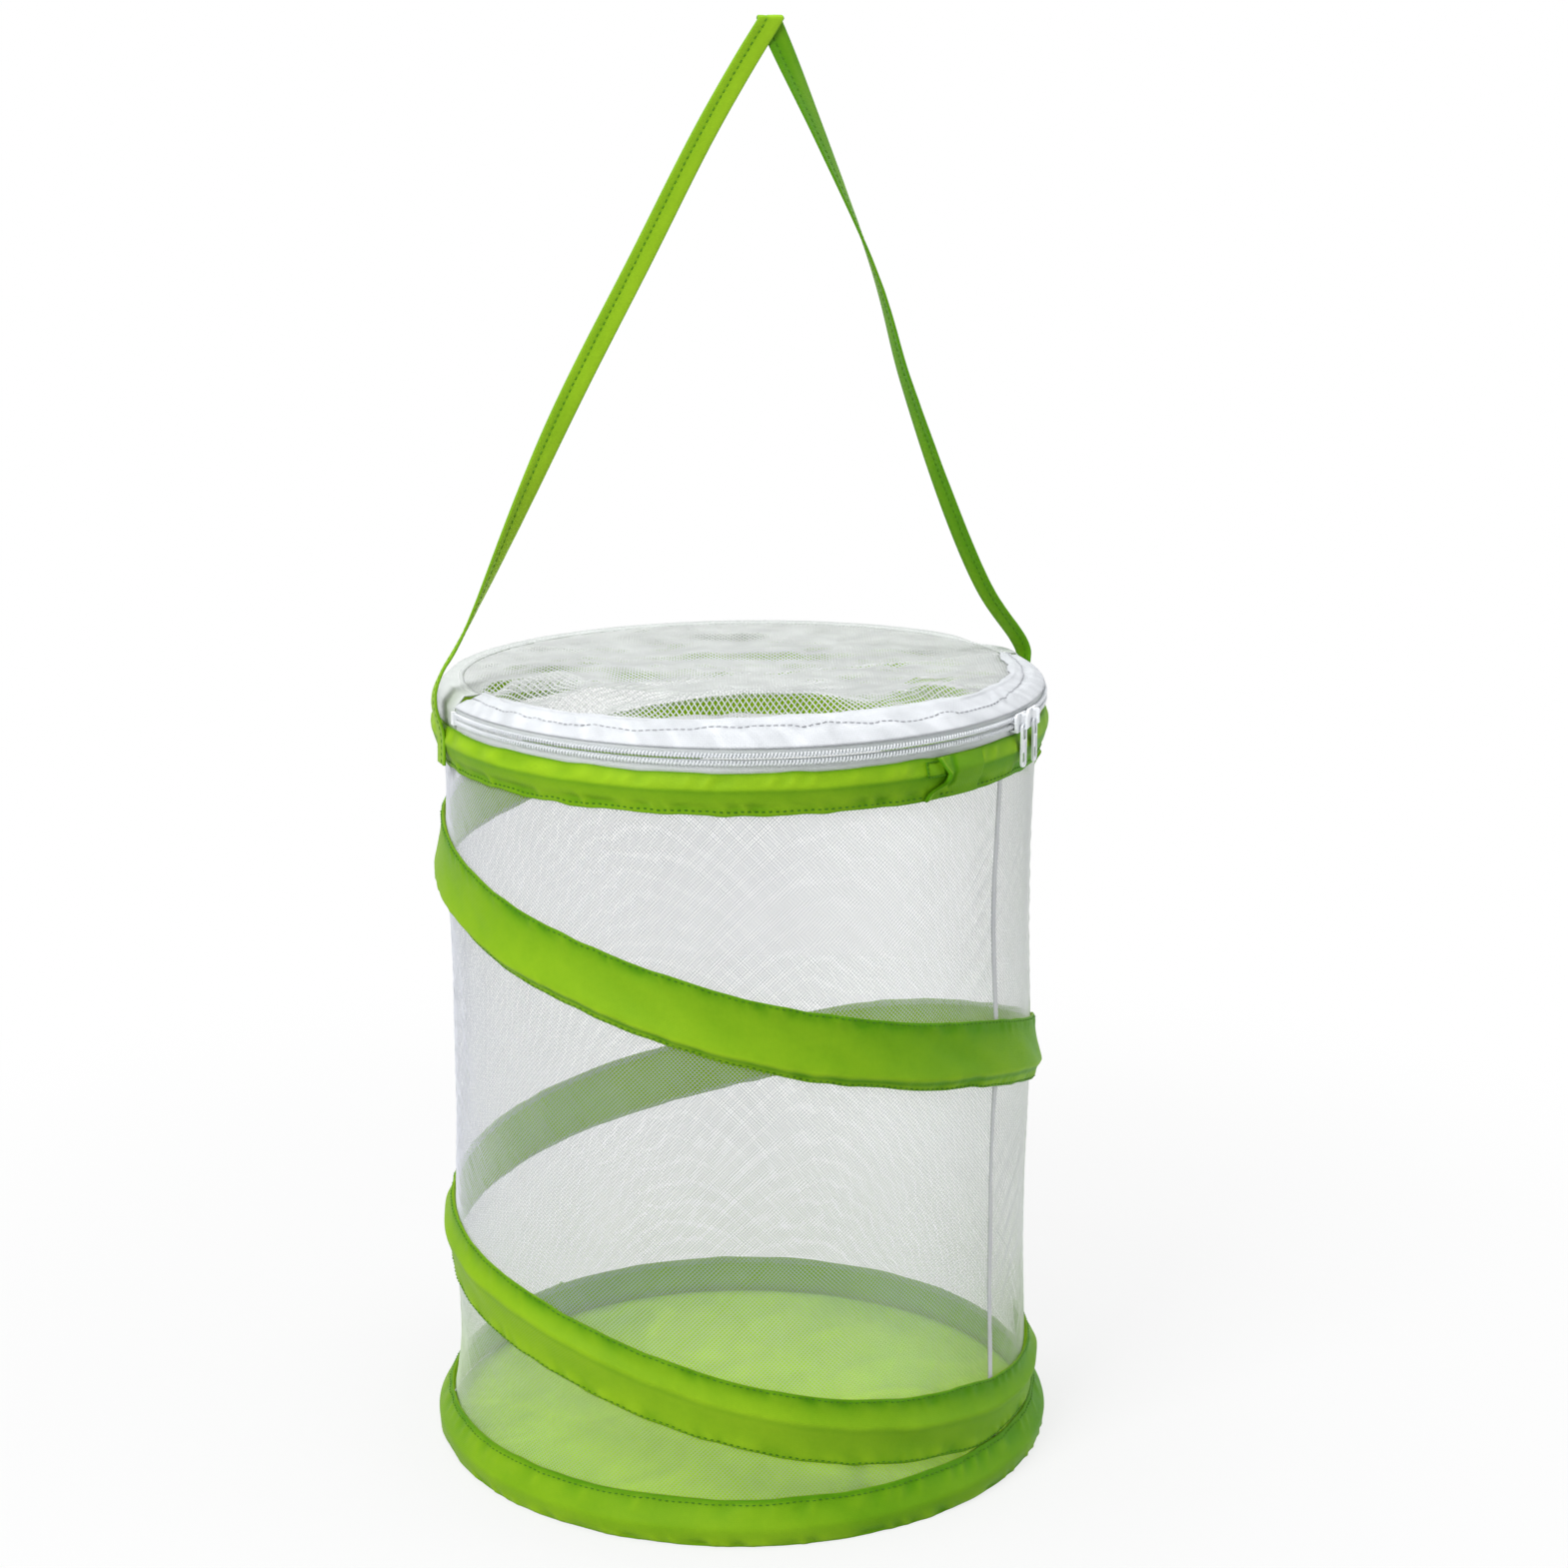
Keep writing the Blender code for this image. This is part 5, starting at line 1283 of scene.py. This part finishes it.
def back_profile(angle):
    """The tape of the back half: up from the hoop's sleeve and in to the net."""
    rim = rim_height(angle)
    share = np.array([0, 0.12, 0.25, 0.38, 0.5, 0.62, 0.75, 0.88, 1.0])
    radius = np.where(share < 0.38, TAPE_RADIUS, TAPE_RADIUS + (RIM_RADIUS - TAPE_RADIUS)
                      * (share - 0.38) / 0.62)
    height = TAPE_FOOT + 0.0001 + (rim - TAPE_FOOT - 0.0004) * np.minimum(share / 0.62, 1) ** 0.9
    height = np.where(share > 0.62, rim - 0.0002 - 0.0016 * (1 - share), height)
    ripple = 0.0003 * waver(angle * 22 + share * 2, 101)
    rubbed = 0.0014 * bell(angle_between(angle, STRAP_RUB), math.radians(6))
    rubbed = rubbed * np.sin(math.pi * share)
    return radius + ripple * np.minimum(share * 4, 1) - rubbed, height - rubbed


def make_back_border(sizes):
    """The back half's tape and its stitches."""
    end = math.asin((-FOLD_LINE - 0.0004) / (TAPE_RADIUS + 0.0008))
    angles = np.linspace(-end, math.pi + end, 300)
    rows = strip_rows(back_profile, angles, 0.0007)
    mesh = cloth_mesh("back_border", rows)
    border = place_piece("back_border", mesh, "net_tape", "top_frame")
    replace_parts(border, "top_panel_tape")
    normal = on_ring(0.5, angles, 0.87)
    lines = [stitch_line(rows[:, 7], normal, sizes.stitch, 0.3, 0.0002, 99)]
    sew("back_border_stitches", lines, sizes.thread, "net", "top_frame")


def make_zip_tapes():
    """The two tapes of the zip."""
    for name, node, body, profile, trim in (
        ("hoop_zip_tape", "zip_tape_lower", "top_frame", lower_tape_profile, 0.0001),
        ("flap_zip_tape", "zip_tape_upper", "lid_flap", upper_tape_profile, 0.0007),
    ):
        angles = front_angles(trim, 240)
        rows = strip_rows(profile, angles, 0.0006)
        tape = place_piece(name, cloth_mesh(name, rows), "zip_tape", body)
        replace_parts(tape, node)


def make_chain_half(name, node, body, low, high):
    """Half of the zip's chain: one long coil of plastic yarn."""
    half_height = (high - low) / 2 - CHAIN_YARN
    inner, outer = CHAIN_REACH
    half_depth = (outer - inner) / 2 - CHAIN_YARN * 0.9
    ends = front_angles(CHAIN_TRIM, 2)
    turns = int((ends[1] - ends[0]) * CHAIN_RADIUS / CHAIN_PITCH)
    points = turns * 8
    phase = np.linspace(0, FULL_TURN * turns, points + 1)
    angle = ends[0] + (ends[1] - ends[0]) * phase / phase[-1]
    radius = (inner + outer) / 2 + half_depth * np.cos(phase)
    height = (low + high) / 2 + half_height * np.sin(phase)
    route = on_ring(radius, angle, height)
    normal = route - on_ring((inner + outer) / 2, angle, (low + high) / 2)
    mesh = yarn_mesh(name, route, normal, CHAIN_YARN, 5)
    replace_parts(place_piece(name, mesh, "zip", body), node)


def yarn_mesh(name, route, normal, radius, sides):
    """One long yarn with a round section."""
    side, up = strand_sides(route, normal)
    turn = np.arange(sides) * 2 * math.pi / sides
    points = route[:, None] + radius * (
        np.cos(turn)[None, :, None] * up[:, None] + np.sin(turn)[None, :, None] * side[:, None]
    )
    return cloth_mesh(name, points)


def make_zip_chain():
    """Both halves of the chain, drawn close to each other."""
    low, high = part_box("zip_coil_lower")[0][2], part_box("zip_coil_lower")[1][2] + CHAIN_CLOSE
    make_chain_half("hoop_zip_chain", "zip_coil_lower", "top_frame", low, high)
    low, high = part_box("zip_coil_upper")[0][2] - CHAIN_CLOSE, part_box("zip_coil_upper")[1][2]
    make_chain_half("flap_zip_chain", "zip_coil_upper", "lid_flap", low, high)


def leg_points(shares, turns, side, count, sizes):
    """Middles, widths and faces of one leg of the strap, from its tail to the fold."""
    last = len(shares) - 1
    place = np.linspace(0, last, count)
    table = np.array(shares)

    def middle_at(at):
        x = side * STRAP_REACH * smooth_values(table[:, 0], at)
        z = HOOP_HEIGHT + STRAP_RISE * smooth_values(table[:, 1], at)
        return np.stack([x, np.zeros_like(x), z], -1)

    middle = middle_at(place)
    along = unit(middle_at(place + 0.02) - middle_at(place - 0.02))
    turn = np.radians(smooth_values(turns, place))
    across = np.stack([along[:, 2], np.zeros(count), -along[:, 0]], -1)
    width = np.cos(turn)[:, None] * np.array([0.0, 1.0, 0.0]) + np.sin(turn)[:, None] * across
    near = eased(np.clip((place - last + 1) * 2 - 1, 0, 1))[:, None]
    lean = np.stack([1 / along[:, 2], np.zeros(count), np.zeros(count)], -1)
    width = width * (1 - near) + lean * near
    face = unit(np.cross(width, along))
    middle = middle + near * np.array([0.0, side * (sizes.strap_thick / 2 + 0.0004), 0.0])
    return middle, width, face


def strap_section(middle, width, face, sizes, along):
    """One section of the strap: folded edges a little thicker than its middle."""
    half, thick = sizes.strap_width / 2, sizes.strap_thick / 2
    across = np.array([-1, -0.94, -0.84, -0.50, -0.32, -0.14, 0.40, 0.84, 0.94, 1.0])
    body = np.array([0.30, 0.85, 0.96, 0.86, 0.58, 0.86, 0.92, 0.96, 0.82, 0.30])
    ripple = 1 + 0.10 * waver(along / 0.004 + across * 2, 111)
    top = middle + np.outer(across * half, width) + np.outer(body * thick * ripple, face)
    low = middle + np.outer(across * half, width) - np.outer(body * thick, face)
    return top, low


def make_strap(sizes):
    """The carry strap: a flat tube of nylon, folded over at its top and sewn along one side."""
    count = LEG_SECTIONS
    left = leg_points(LEFT_LEG_SHARES, LEFT_LEG_TURNS, -1, count, sizes)
    right = leg_points(RIGHT_LEG_SHARES, RIGHT_LEG_TURNS, 1, count, sizes)
    step = LEG_LENGTH / count
    rows, back = [], []
    for n in range(count):
        top, low = strap_section(*(part[n] for part in left), sizes, n * step)
        rows.append(section(top, low))
        top, low = strap_section(*(part[n] for part in right), sizes, 1 + n * step)
        back.insert(0, section(low, top))
    last = rows[-1]
    reach = np.abs(last[:, 1])
    for n in range(1, 9):
        share = n / 9
        turn = math.pi * share
        flat = last * (1 - share) + back[0] * share
        height = flat[:, 2] + reach * math.sin(turn)
        rows.append(np.stack([flat[:, 0], -reach * math.cos(turn), height], -1))
    rows = np.array(rows + back)
    # Painted shade: the right leg and the far half of the fold are painted dark as the side away
    # from the light, and the edges and stitched row darker, with painted light on the middle.
    painted_shade_across = np.array([-0.40, -0.16, -0.06, -0.10, -0.26, 0.02, 0.14, 0.06, -0.10, -0.45])
    tone = np.where(np.arange(len(rows)) < count + 4, 0.70, 0.03)
    painted_shading = np.clip(tone[:, None] + np.concatenate([painted_shade_across, painted_shade_across[::-1]]), 0, 1)
    mesh = cloth_mesh("carry_strap", rows, painted_shading=painted_shading)
    strap = place_piece("carry_strap", mesh, "strap", "handle")
    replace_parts(strap, "handle_strap")
    make_strap_stitches(rows, sizes)


def make_strap_stitches(rows, sizes):
    """The row of stitches that closes the strap, on both faces, clear of the sleeve inside."""
    lines = []
    for column, seed, foot in ((4, 121, BAND_HEAD + 0.001), (15, 123, 0.0)):
        clear = rows[:, column, 2] > foot
        route = rows[clear, column]
        normal = unit(route - rows[clear, -1 - column])
        lines.append(stitch_line(route, normal, sizes.stitch, 0.30, 0.0002, seed))
    thread = sizes.thread * 0.8
    sew("carry_strap_stitches", lines, thread, "green_thread", "handle")


def dress_hardware():
    """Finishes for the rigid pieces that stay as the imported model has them."""
    for finish, nodes in HARDWARE.items():
        for node in nodes:
            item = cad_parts[node]
            item.data.materials.clear()
            item.data.materials.append(finish_named(finish))


def make_stage(stage):
    """Camera, soft studio lights, and a pale floor and world."""
    scene = bpy.context.scene
    camera = bpy.data.objects.new("photo_camera", bpy.data.cameras.new("photo_camera"))
    camera.data.sensor_width = 36.0
    camera.data.lens = stage.lens
    camera.data.clip_start = 0.01
    camera.location = stage.camera_place
    yaw, pitch = stage.camera_yaw, stage.camera_pitch
    look = Vector((math.sin(yaw) * math.cos(pitch), math.cos(yaw) * math.cos(pitch),
                   -math.sin(pitch)))
    camera.rotation_euler = look.to_track_quat("-Z", "Y").to_euler()
    scene.collection.objects.link(camera)
    scene.camera = camera
    for name, place, size, power in (
        ("key_softbox", (-1.30, -0.95, 1.50), 0.8, stage.key_power),
        ("fill_softbox", (1.6, -0.5, 0.8), 1.2, stage.fill_power),
        ("top_softbox", (-0.1, 0.1, 1.9), 1.2, stage.top_power),
    ):
        lamp = bpy.data.objects.new(name, bpy.data.lights.new(name, "AREA"))
        lamp.data.shape = "SQUARE"
        lamp.data.size = size
        lamp.data.energy = power
        lamp.location = place
        aim = Vector((0, 0, 0.2)) - lamp.location
        lamp.rotation_euler = aim.to_track_quat("-Z", "Y").to_euler()
        scene.collection.objects.link(lamp)
    make_world(stage)
    make_ground(stage)
    scene.view_settings.view_transform = "Standard"


def seen_ray(nodes):
    """1 for rays that the camera, a gloss or a glass sees, and 0 for the light itself."""
    rays = [
        nodes.node("ShaderNodeLightPath", output=name)
        for name in ("Is Camera Ray", "Is Glossy Ray", "Is Transmission Ray")
    ]
    return rays[0].maths("MAXIMUM", rays[1]).maths("MAXIMUM", rays[2])


def make_world(stage):
    """A white surround that is dimmer as a light than it looks."""
    world = bpy.data.worlds.new("pale_surround")
    world.use_nodes = True
    bpy.context.scene.world = world
    nodes = Nodes(world.node_tree)
    lit = nodes.tree.nodes["Background"]
    lit.inputs["Color"].default_value = (0.96, 0.98, 1.0, 1)
    lit.inputs["Strength"].default_value = stage.surround
    seen = nodes.node("ShaderNodeBackground", None, {"Color": (1, 1, 1, 1)})
    inputs = {0: seen_ray(nodes), 1: Value(nodes, lit.outputs[0]), 2: seen}
    both = nodes.node("ShaderNodeMixShader", None, inputs)
    nodes.put(nodes.tree.nodes["World Output"].inputs["Surface"], both)


def make_ground(stage):
    """A pale floor that keeps a soft shadow and runs on into the white surround."""
    bpy.ops.object.select_all(action="DESELECT")
    bpy.ops.mesh.primitive_plane_add(size=12.0, location=(0, 0, -0.0002))
    ground = bpy.context.active_object
    ground.name = "pale_floor"
    finish = Finish("pale_floor", 0.9)
    finish.shader.inputs["Base Color"].default_value = (0.70, 0.70, 0.70, 1)
    away = finish.node(
        "ShaderNodeVectorMath", {"operation": "LENGTH"}, {0: finish.place()}, output="Value"
    )
    fade = finish.node("ShaderNodeMapRange", {"interpolation_type": "SMOOTHSTEP"}, {
        "Value": away, "From Min": 0.16, "From Max": 0.75,
        "To Min": stage.floor_glow, "To Max": 1.0,
    })
    matte = Value(finish, finish.shader.outputs[0])
    glow = finish.node("ShaderNodeEmission")
    both = finish.node("ShaderNodeMixShader", None, {0: seen_ray(finish) * fade, 1: matte, 2: glow})
    finish.put(finish.tree.nodes["Material Output"].inputs["Surface"], both)
    ground.data.materials.append(finish.material)


def power_property(name, watts):
    """A lamp's power that a user can change."""
    return bpy.props.FloatProperty(name=name, description="Power in watts", default=watts, min=0.0)


def angle_property(name, description, degrees):
    """An angle that a user can change."""
    return bpy.props.FloatProperty(
        name=name, description=description, default=math.radians(degrees), subtype="ANGLE",
    )


def colour_property(name, description, value):
    """A colour that a user can change."""
    return bpy.props.FloatVectorProperty(
        name=name, description=description, subtype="COLOR", size=3, min=0.0, max=1.0,
        default=value,
    )


def length_property(name, description, value):
    """A length that a user can change, in metres."""
    return bpy.props.FloatProperty(
        name=name, description=description, default=value, min=0.00001, precision=5,
        unit="LENGTH", subtype="DISTANCE",
    )


class CageSizes(bpy.types.PropertyGroup):
    """Sizes of the cloth, net and thread."""

    net_cell: length_property("Net cell", "Width of one diamond of the wall's net", 0.0019)
    net_width: length_property("Net thread width", "Width of the wall net's threads", 0.00020)
    net_depth: length_property("Net thread depth", "Thickness of the wall net's threads", 0.00017)
    net_step: length_property("Net step", "Length of each straight bit of the wall net", 0.0105)
    net_drift: length_property("Net drift", "How far the threads stray", 0.00035)
    top_cell: length_property("Top cell", "Width of one diamond of the top's net", 0.0026)
    top_width: length_property("Top thread width", "Width of the top net's threads", 0.00034)
    top_depth: length_property("Top thread depth", "Thickness of the top net's threads", 0.00048)
    top_step: length_property("Top step", "Length of each straight bit of the top net", 0.0030)
    pucker: length_property("Pucker", "Height of the puckers beside a seam", 0.0010)
    stitch: length_property("Stitch", "Length of one stitch with its gap", 0.0030)
    thread: length_property("Sewing thread", "Radius of the sewing thread", 0.00034)
    strap_width: length_property("Strap width", "Width of the carry strap", 0.0105)
    strap_thick: length_property("Strap thickness", "Thickness of the carry strap", 0.0014)


class CageColours(bpy.types.PropertyGroup):
    """Colours of the cloth, net and fittings."""

    # The two greens are the ends of the nylon's painted light and shade: the deep one painted shade
    # in folds, hems and on the right side, the light one painted light on ridges; random tone runs
    # between them too.
    green_light: colour_property("Light green", "Nylon where it is brightest", (0.31, 0.53, 0.015))
    green_deep: colour_property("Deep green", "Nylon in its folds", (0.085, 0.27, 0.003))
    # The floor's greens are painted paler than the sleeves' as painted light, and its shade colour
    # is painted shade in its creases.
    floor_deep: colour_property("Floor shade", "Floor in its folds", (0.36, 0.62, 0.020))
    floor_light: colour_property("Floor", "Floor where it is brightest", (0.52, 0.82, 0.030))
    green_thread: colour_property("Green thread", "Stitches of the sleeves", (0.035, 0.12, 0.005))
    grey_thread: colour_property("Grey thread", "Stitches of the binding", (0.22, 0.23, 0.23))
    net_shade: colour_property("Fine net shade", "Wall net yarn, darker tone", (0.54, 0.55, 0.60))
    net_grey: colour_property("Fine net", "Wall net yarn, lighter tone", (0.64, 0.65, 0.70))
    # Painted light: green light bounced off the floor, painted into the wall's yarn near the floor.
    net_painted_bounce: colour_property("Net by the floor", "Wall net yarn near the floor", (0.50, 0.59, 0.42))
    net_deep: colour_property("Net shade", "Top net yarn, darker tone", (0.54, 0.55, 0.55))
    net_light: colour_property("Net white", "Top net yarn, lighter tone", (0.82, 0.84, 0.83))
    seam_light: colour_property("Seam white", "Seam tape, lighter tone", (0.64, 0.66, 0.65))
    edge_deep: colour_property("Edge shade", "Tape of the back half, darker", (0.48, 0.51, 0.49))
    edge_light: colour_property("Edge", "Tape of the back half, lighter", (0.66, 0.69, 0.67))
    # The tape's darker tone is the binding's painted shade, in its stitch groove and wrinkles, and
    # shows where its tone differs at random.
    tape_deep: colour_property("Tape shade", "White tape, darker tone", (0.36, 0.38, 0.40))
    tape_light: colour_property("Tape white", "White tape, lighter tone", (0.69, 0.71, 0.74))
    # The zip tape's darker tone is painted shade under the chain; it is greenish grey.
    zip_tape: colour_property("Zip tape", "Zip tape, darker tone", (0.57, 0.62, 0.57))
    zip_deep: colour_property("Zip shade", "Zip plastic, darker tone", (0.76, 0.79, 0.83))
    zip_light: colour_property("Zip white", "Zip plastic, lighter tone", (0.88, 0.90, 0.92))
    steel_deep: colour_property("Steel shade", "Spring steel, darker tone", (0.28, 0.28, 0.29))
    steel_light: colour_property("Steel", "Spring steel, lighter tone", (0.46, 0.46, 0.47))
    cap_deep: colour_property("Cap shade", "Wire caps, darker tone", (0.55, 0.56, 0.54))
    cap_light: colour_property("Cap", "Wire caps, lighter tone", (0.68, 0.69, 0.67))


class CageStage(bpy.types.PropertyGroup):
    """Camera and light."""

    lens: bpy.props.FloatProperty(name="Lens", description="Focal length in mm", default=73.88)
    camera_place: bpy.props.FloatVectorProperty(
        name="Camera place", description="Where the camera stands", subtype="TRANSLATION",
        unit="LENGTH", default=(-0.4935, -1.3560, 0.673),
    )
    camera_yaw: angle_property("Camera yaw", "Turn of the view from +Y towards +X", 20.80)
    camera_pitch: angle_property("Camera pitch", "How far the view looks down", 14.05)
    key_power: power_property("Key light", 30.0)
    fill_power: power_property("Fill light", 12.0)
    top_power: power_property("Top light", 20.0)
    surround: bpy.props.FloatProperty(
        name="Surround", description="Strength of the pale surround as a light", default=0.24
    )
    floor_glow: bpy.props.FloatProperty(
        name="Floor glow", description="Share of plain white in the floor beside the cage",
        default=0.78, min=0.0, max=1.0,
    )


class CAGE_OT_net_wall(bpy.types.Operator):
    """Knit the net wall and its seam."""

    bl_idname = "cage.net_wall"
    bl_label = "Net wall"

    def execute(self, context):
        make_net_wall(context.scene.cage_sizes)
        return {"FINISHED"}


class CAGE_OT_hoop_sleeves(bpy.types.Operator):
    """Sew the sleeves over the two hoops."""

    bl_idname = "cage.hoop_sleeves"
    bl_label = "Hoop sleeves"

    def execute(self, context):
        make_hoop_sleeves(context.scene.cage_sizes)
        return {"FINISHED"}


class CAGE_OT_coil_sleeve(bpy.types.Operator):
    """Sew the sleeve that winds round the wall."""

    bl_idname = "cage.coil_sleeve"
    bl_label = "Coil sleeve"

    def execute(self, context):
        make_coil_sleeve(context.scene.cage_sizes)
        make_coil_spring()
        return {"FINISHED"}


class CAGE_OT_floor_cloth(bpy.types.Operator):
    """Lay the crumpled floor."""

    bl_idname = "cage.floor_cloth"
    bl_label = "Floor cloth"

    def execute(self, context):
        make_floor_cloth()
        return {"FINISHED"}


class CAGE_OT_net_top(bpy.types.Operator):
    """Knit both halves of the net top."""

    bl_idname = "cage.net_top"
    bl_label = "Net top"

    def execute(self, context):
        make_net_top(context.scene.cage_sizes)
        return {"FINISHED"}


class CAGE_OT_rim(bpy.types.Operator):
    """Bind the edge of the net top."""

    bl_idname = "cage.rim"
    bl_label = "Rim"

    def execute(self, context):
        make_rim(context.scene.cage_sizes)
        return {"FINISHED"}


class CAGE_OT_zip(bpy.types.Operator):
    """Make the zip's tapes and chain."""

    bl_idname = "cage.zip"
    bl_label = "Zip"

    def execute(self, context):
        make_zip_tapes()
        make_zip_chain()
        return {"FINISHED"}


class CAGE_OT_strap(bpy.types.Operator):
    """Make the carry strap."""

    bl_idname = "cage.strap"
    bl_label = "Carry strap"

    def execute(self, context):
        make_strap(context.scene.cage_sizes)
        return {"FINISHED"}


class CAGE_OT_hardware(bpy.types.Operator):
    """Give the wires, caps, sliders and pulls their finishes."""

    bl_idname = "cage.hardware"
    bl_label = "Hardware"

    def execute(self, context):
        dress_hardware()
        return {"FINISHED"}


class CAGE_OT_stage(bpy.types.Operator):
    """Set the camera, lights and floor."""

    bl_idname = "cage.stage"
    bl_label = "Stage"

    def execute(self, context):
        make_stage(context.scene.cage_stage)
        return {"FINISHED"}


STEPS = (
    CAGE_OT_stage, CAGE_OT_hoop_sleeves, CAGE_OT_coil_sleeve, CAGE_OT_floor_cloth,
    CAGE_OT_net_wall, CAGE_OT_zip, CAGE_OT_rim, CAGE_OT_net_top, CAGE_OT_strap,
    CAGE_OT_hardware,
)


class CAGE_PT_steps(bpy.types.Panel):
    """Lists the cage's pieces in the order they are made."""

    bl_idname = "CAGE_PT_steps"
    bl_label = "Insect cage"
    bl_space_type = "VIEW_3D"
    bl_region_type = "UI"
    bl_category = "Cage"

    def draw(self, context):
        for step in STEPS:
            self.layout.operator(step.bl_idname)
        for group in (context.scene.cage_sizes, context.scene.cage_colours):
            box = self.layout.box()
            for key in group.__annotations__:
                box.prop(group, key)


GROUPS = (
    ("cage_sizes", CageSizes), ("cage_colours", CageColours), ("cage_stage", CageStage),
)


def register():
    """Register the classes and hang the properties on the scene."""
    for name, group in GROUPS:
        bpy.utils.register_class(group)
        setattr(bpy.types.Scene, name, bpy.props.PointerProperty(type=group))
    for item in (*STEPS, CAGE_PT_steps):
        bpy.utils.register_class(item)


def unregister():
    """Take everything off again."""
    for item in reversed((*STEPS, CAGE_PT_steps)):
        bpy.utils.unregister_class(item)
    for name, group in reversed(GROUPS):
        delattr(bpy.types.Scene, name)
        bpy.utils.unregister_class(group)


def main():
    """Make every piece in order."""
    register()
    for step in STEPS:
        area, action = step.bl_idname.split(".")
        getattr(getattr(bpy.ops, area), action)()


if __name__ == "__main__":
    main()
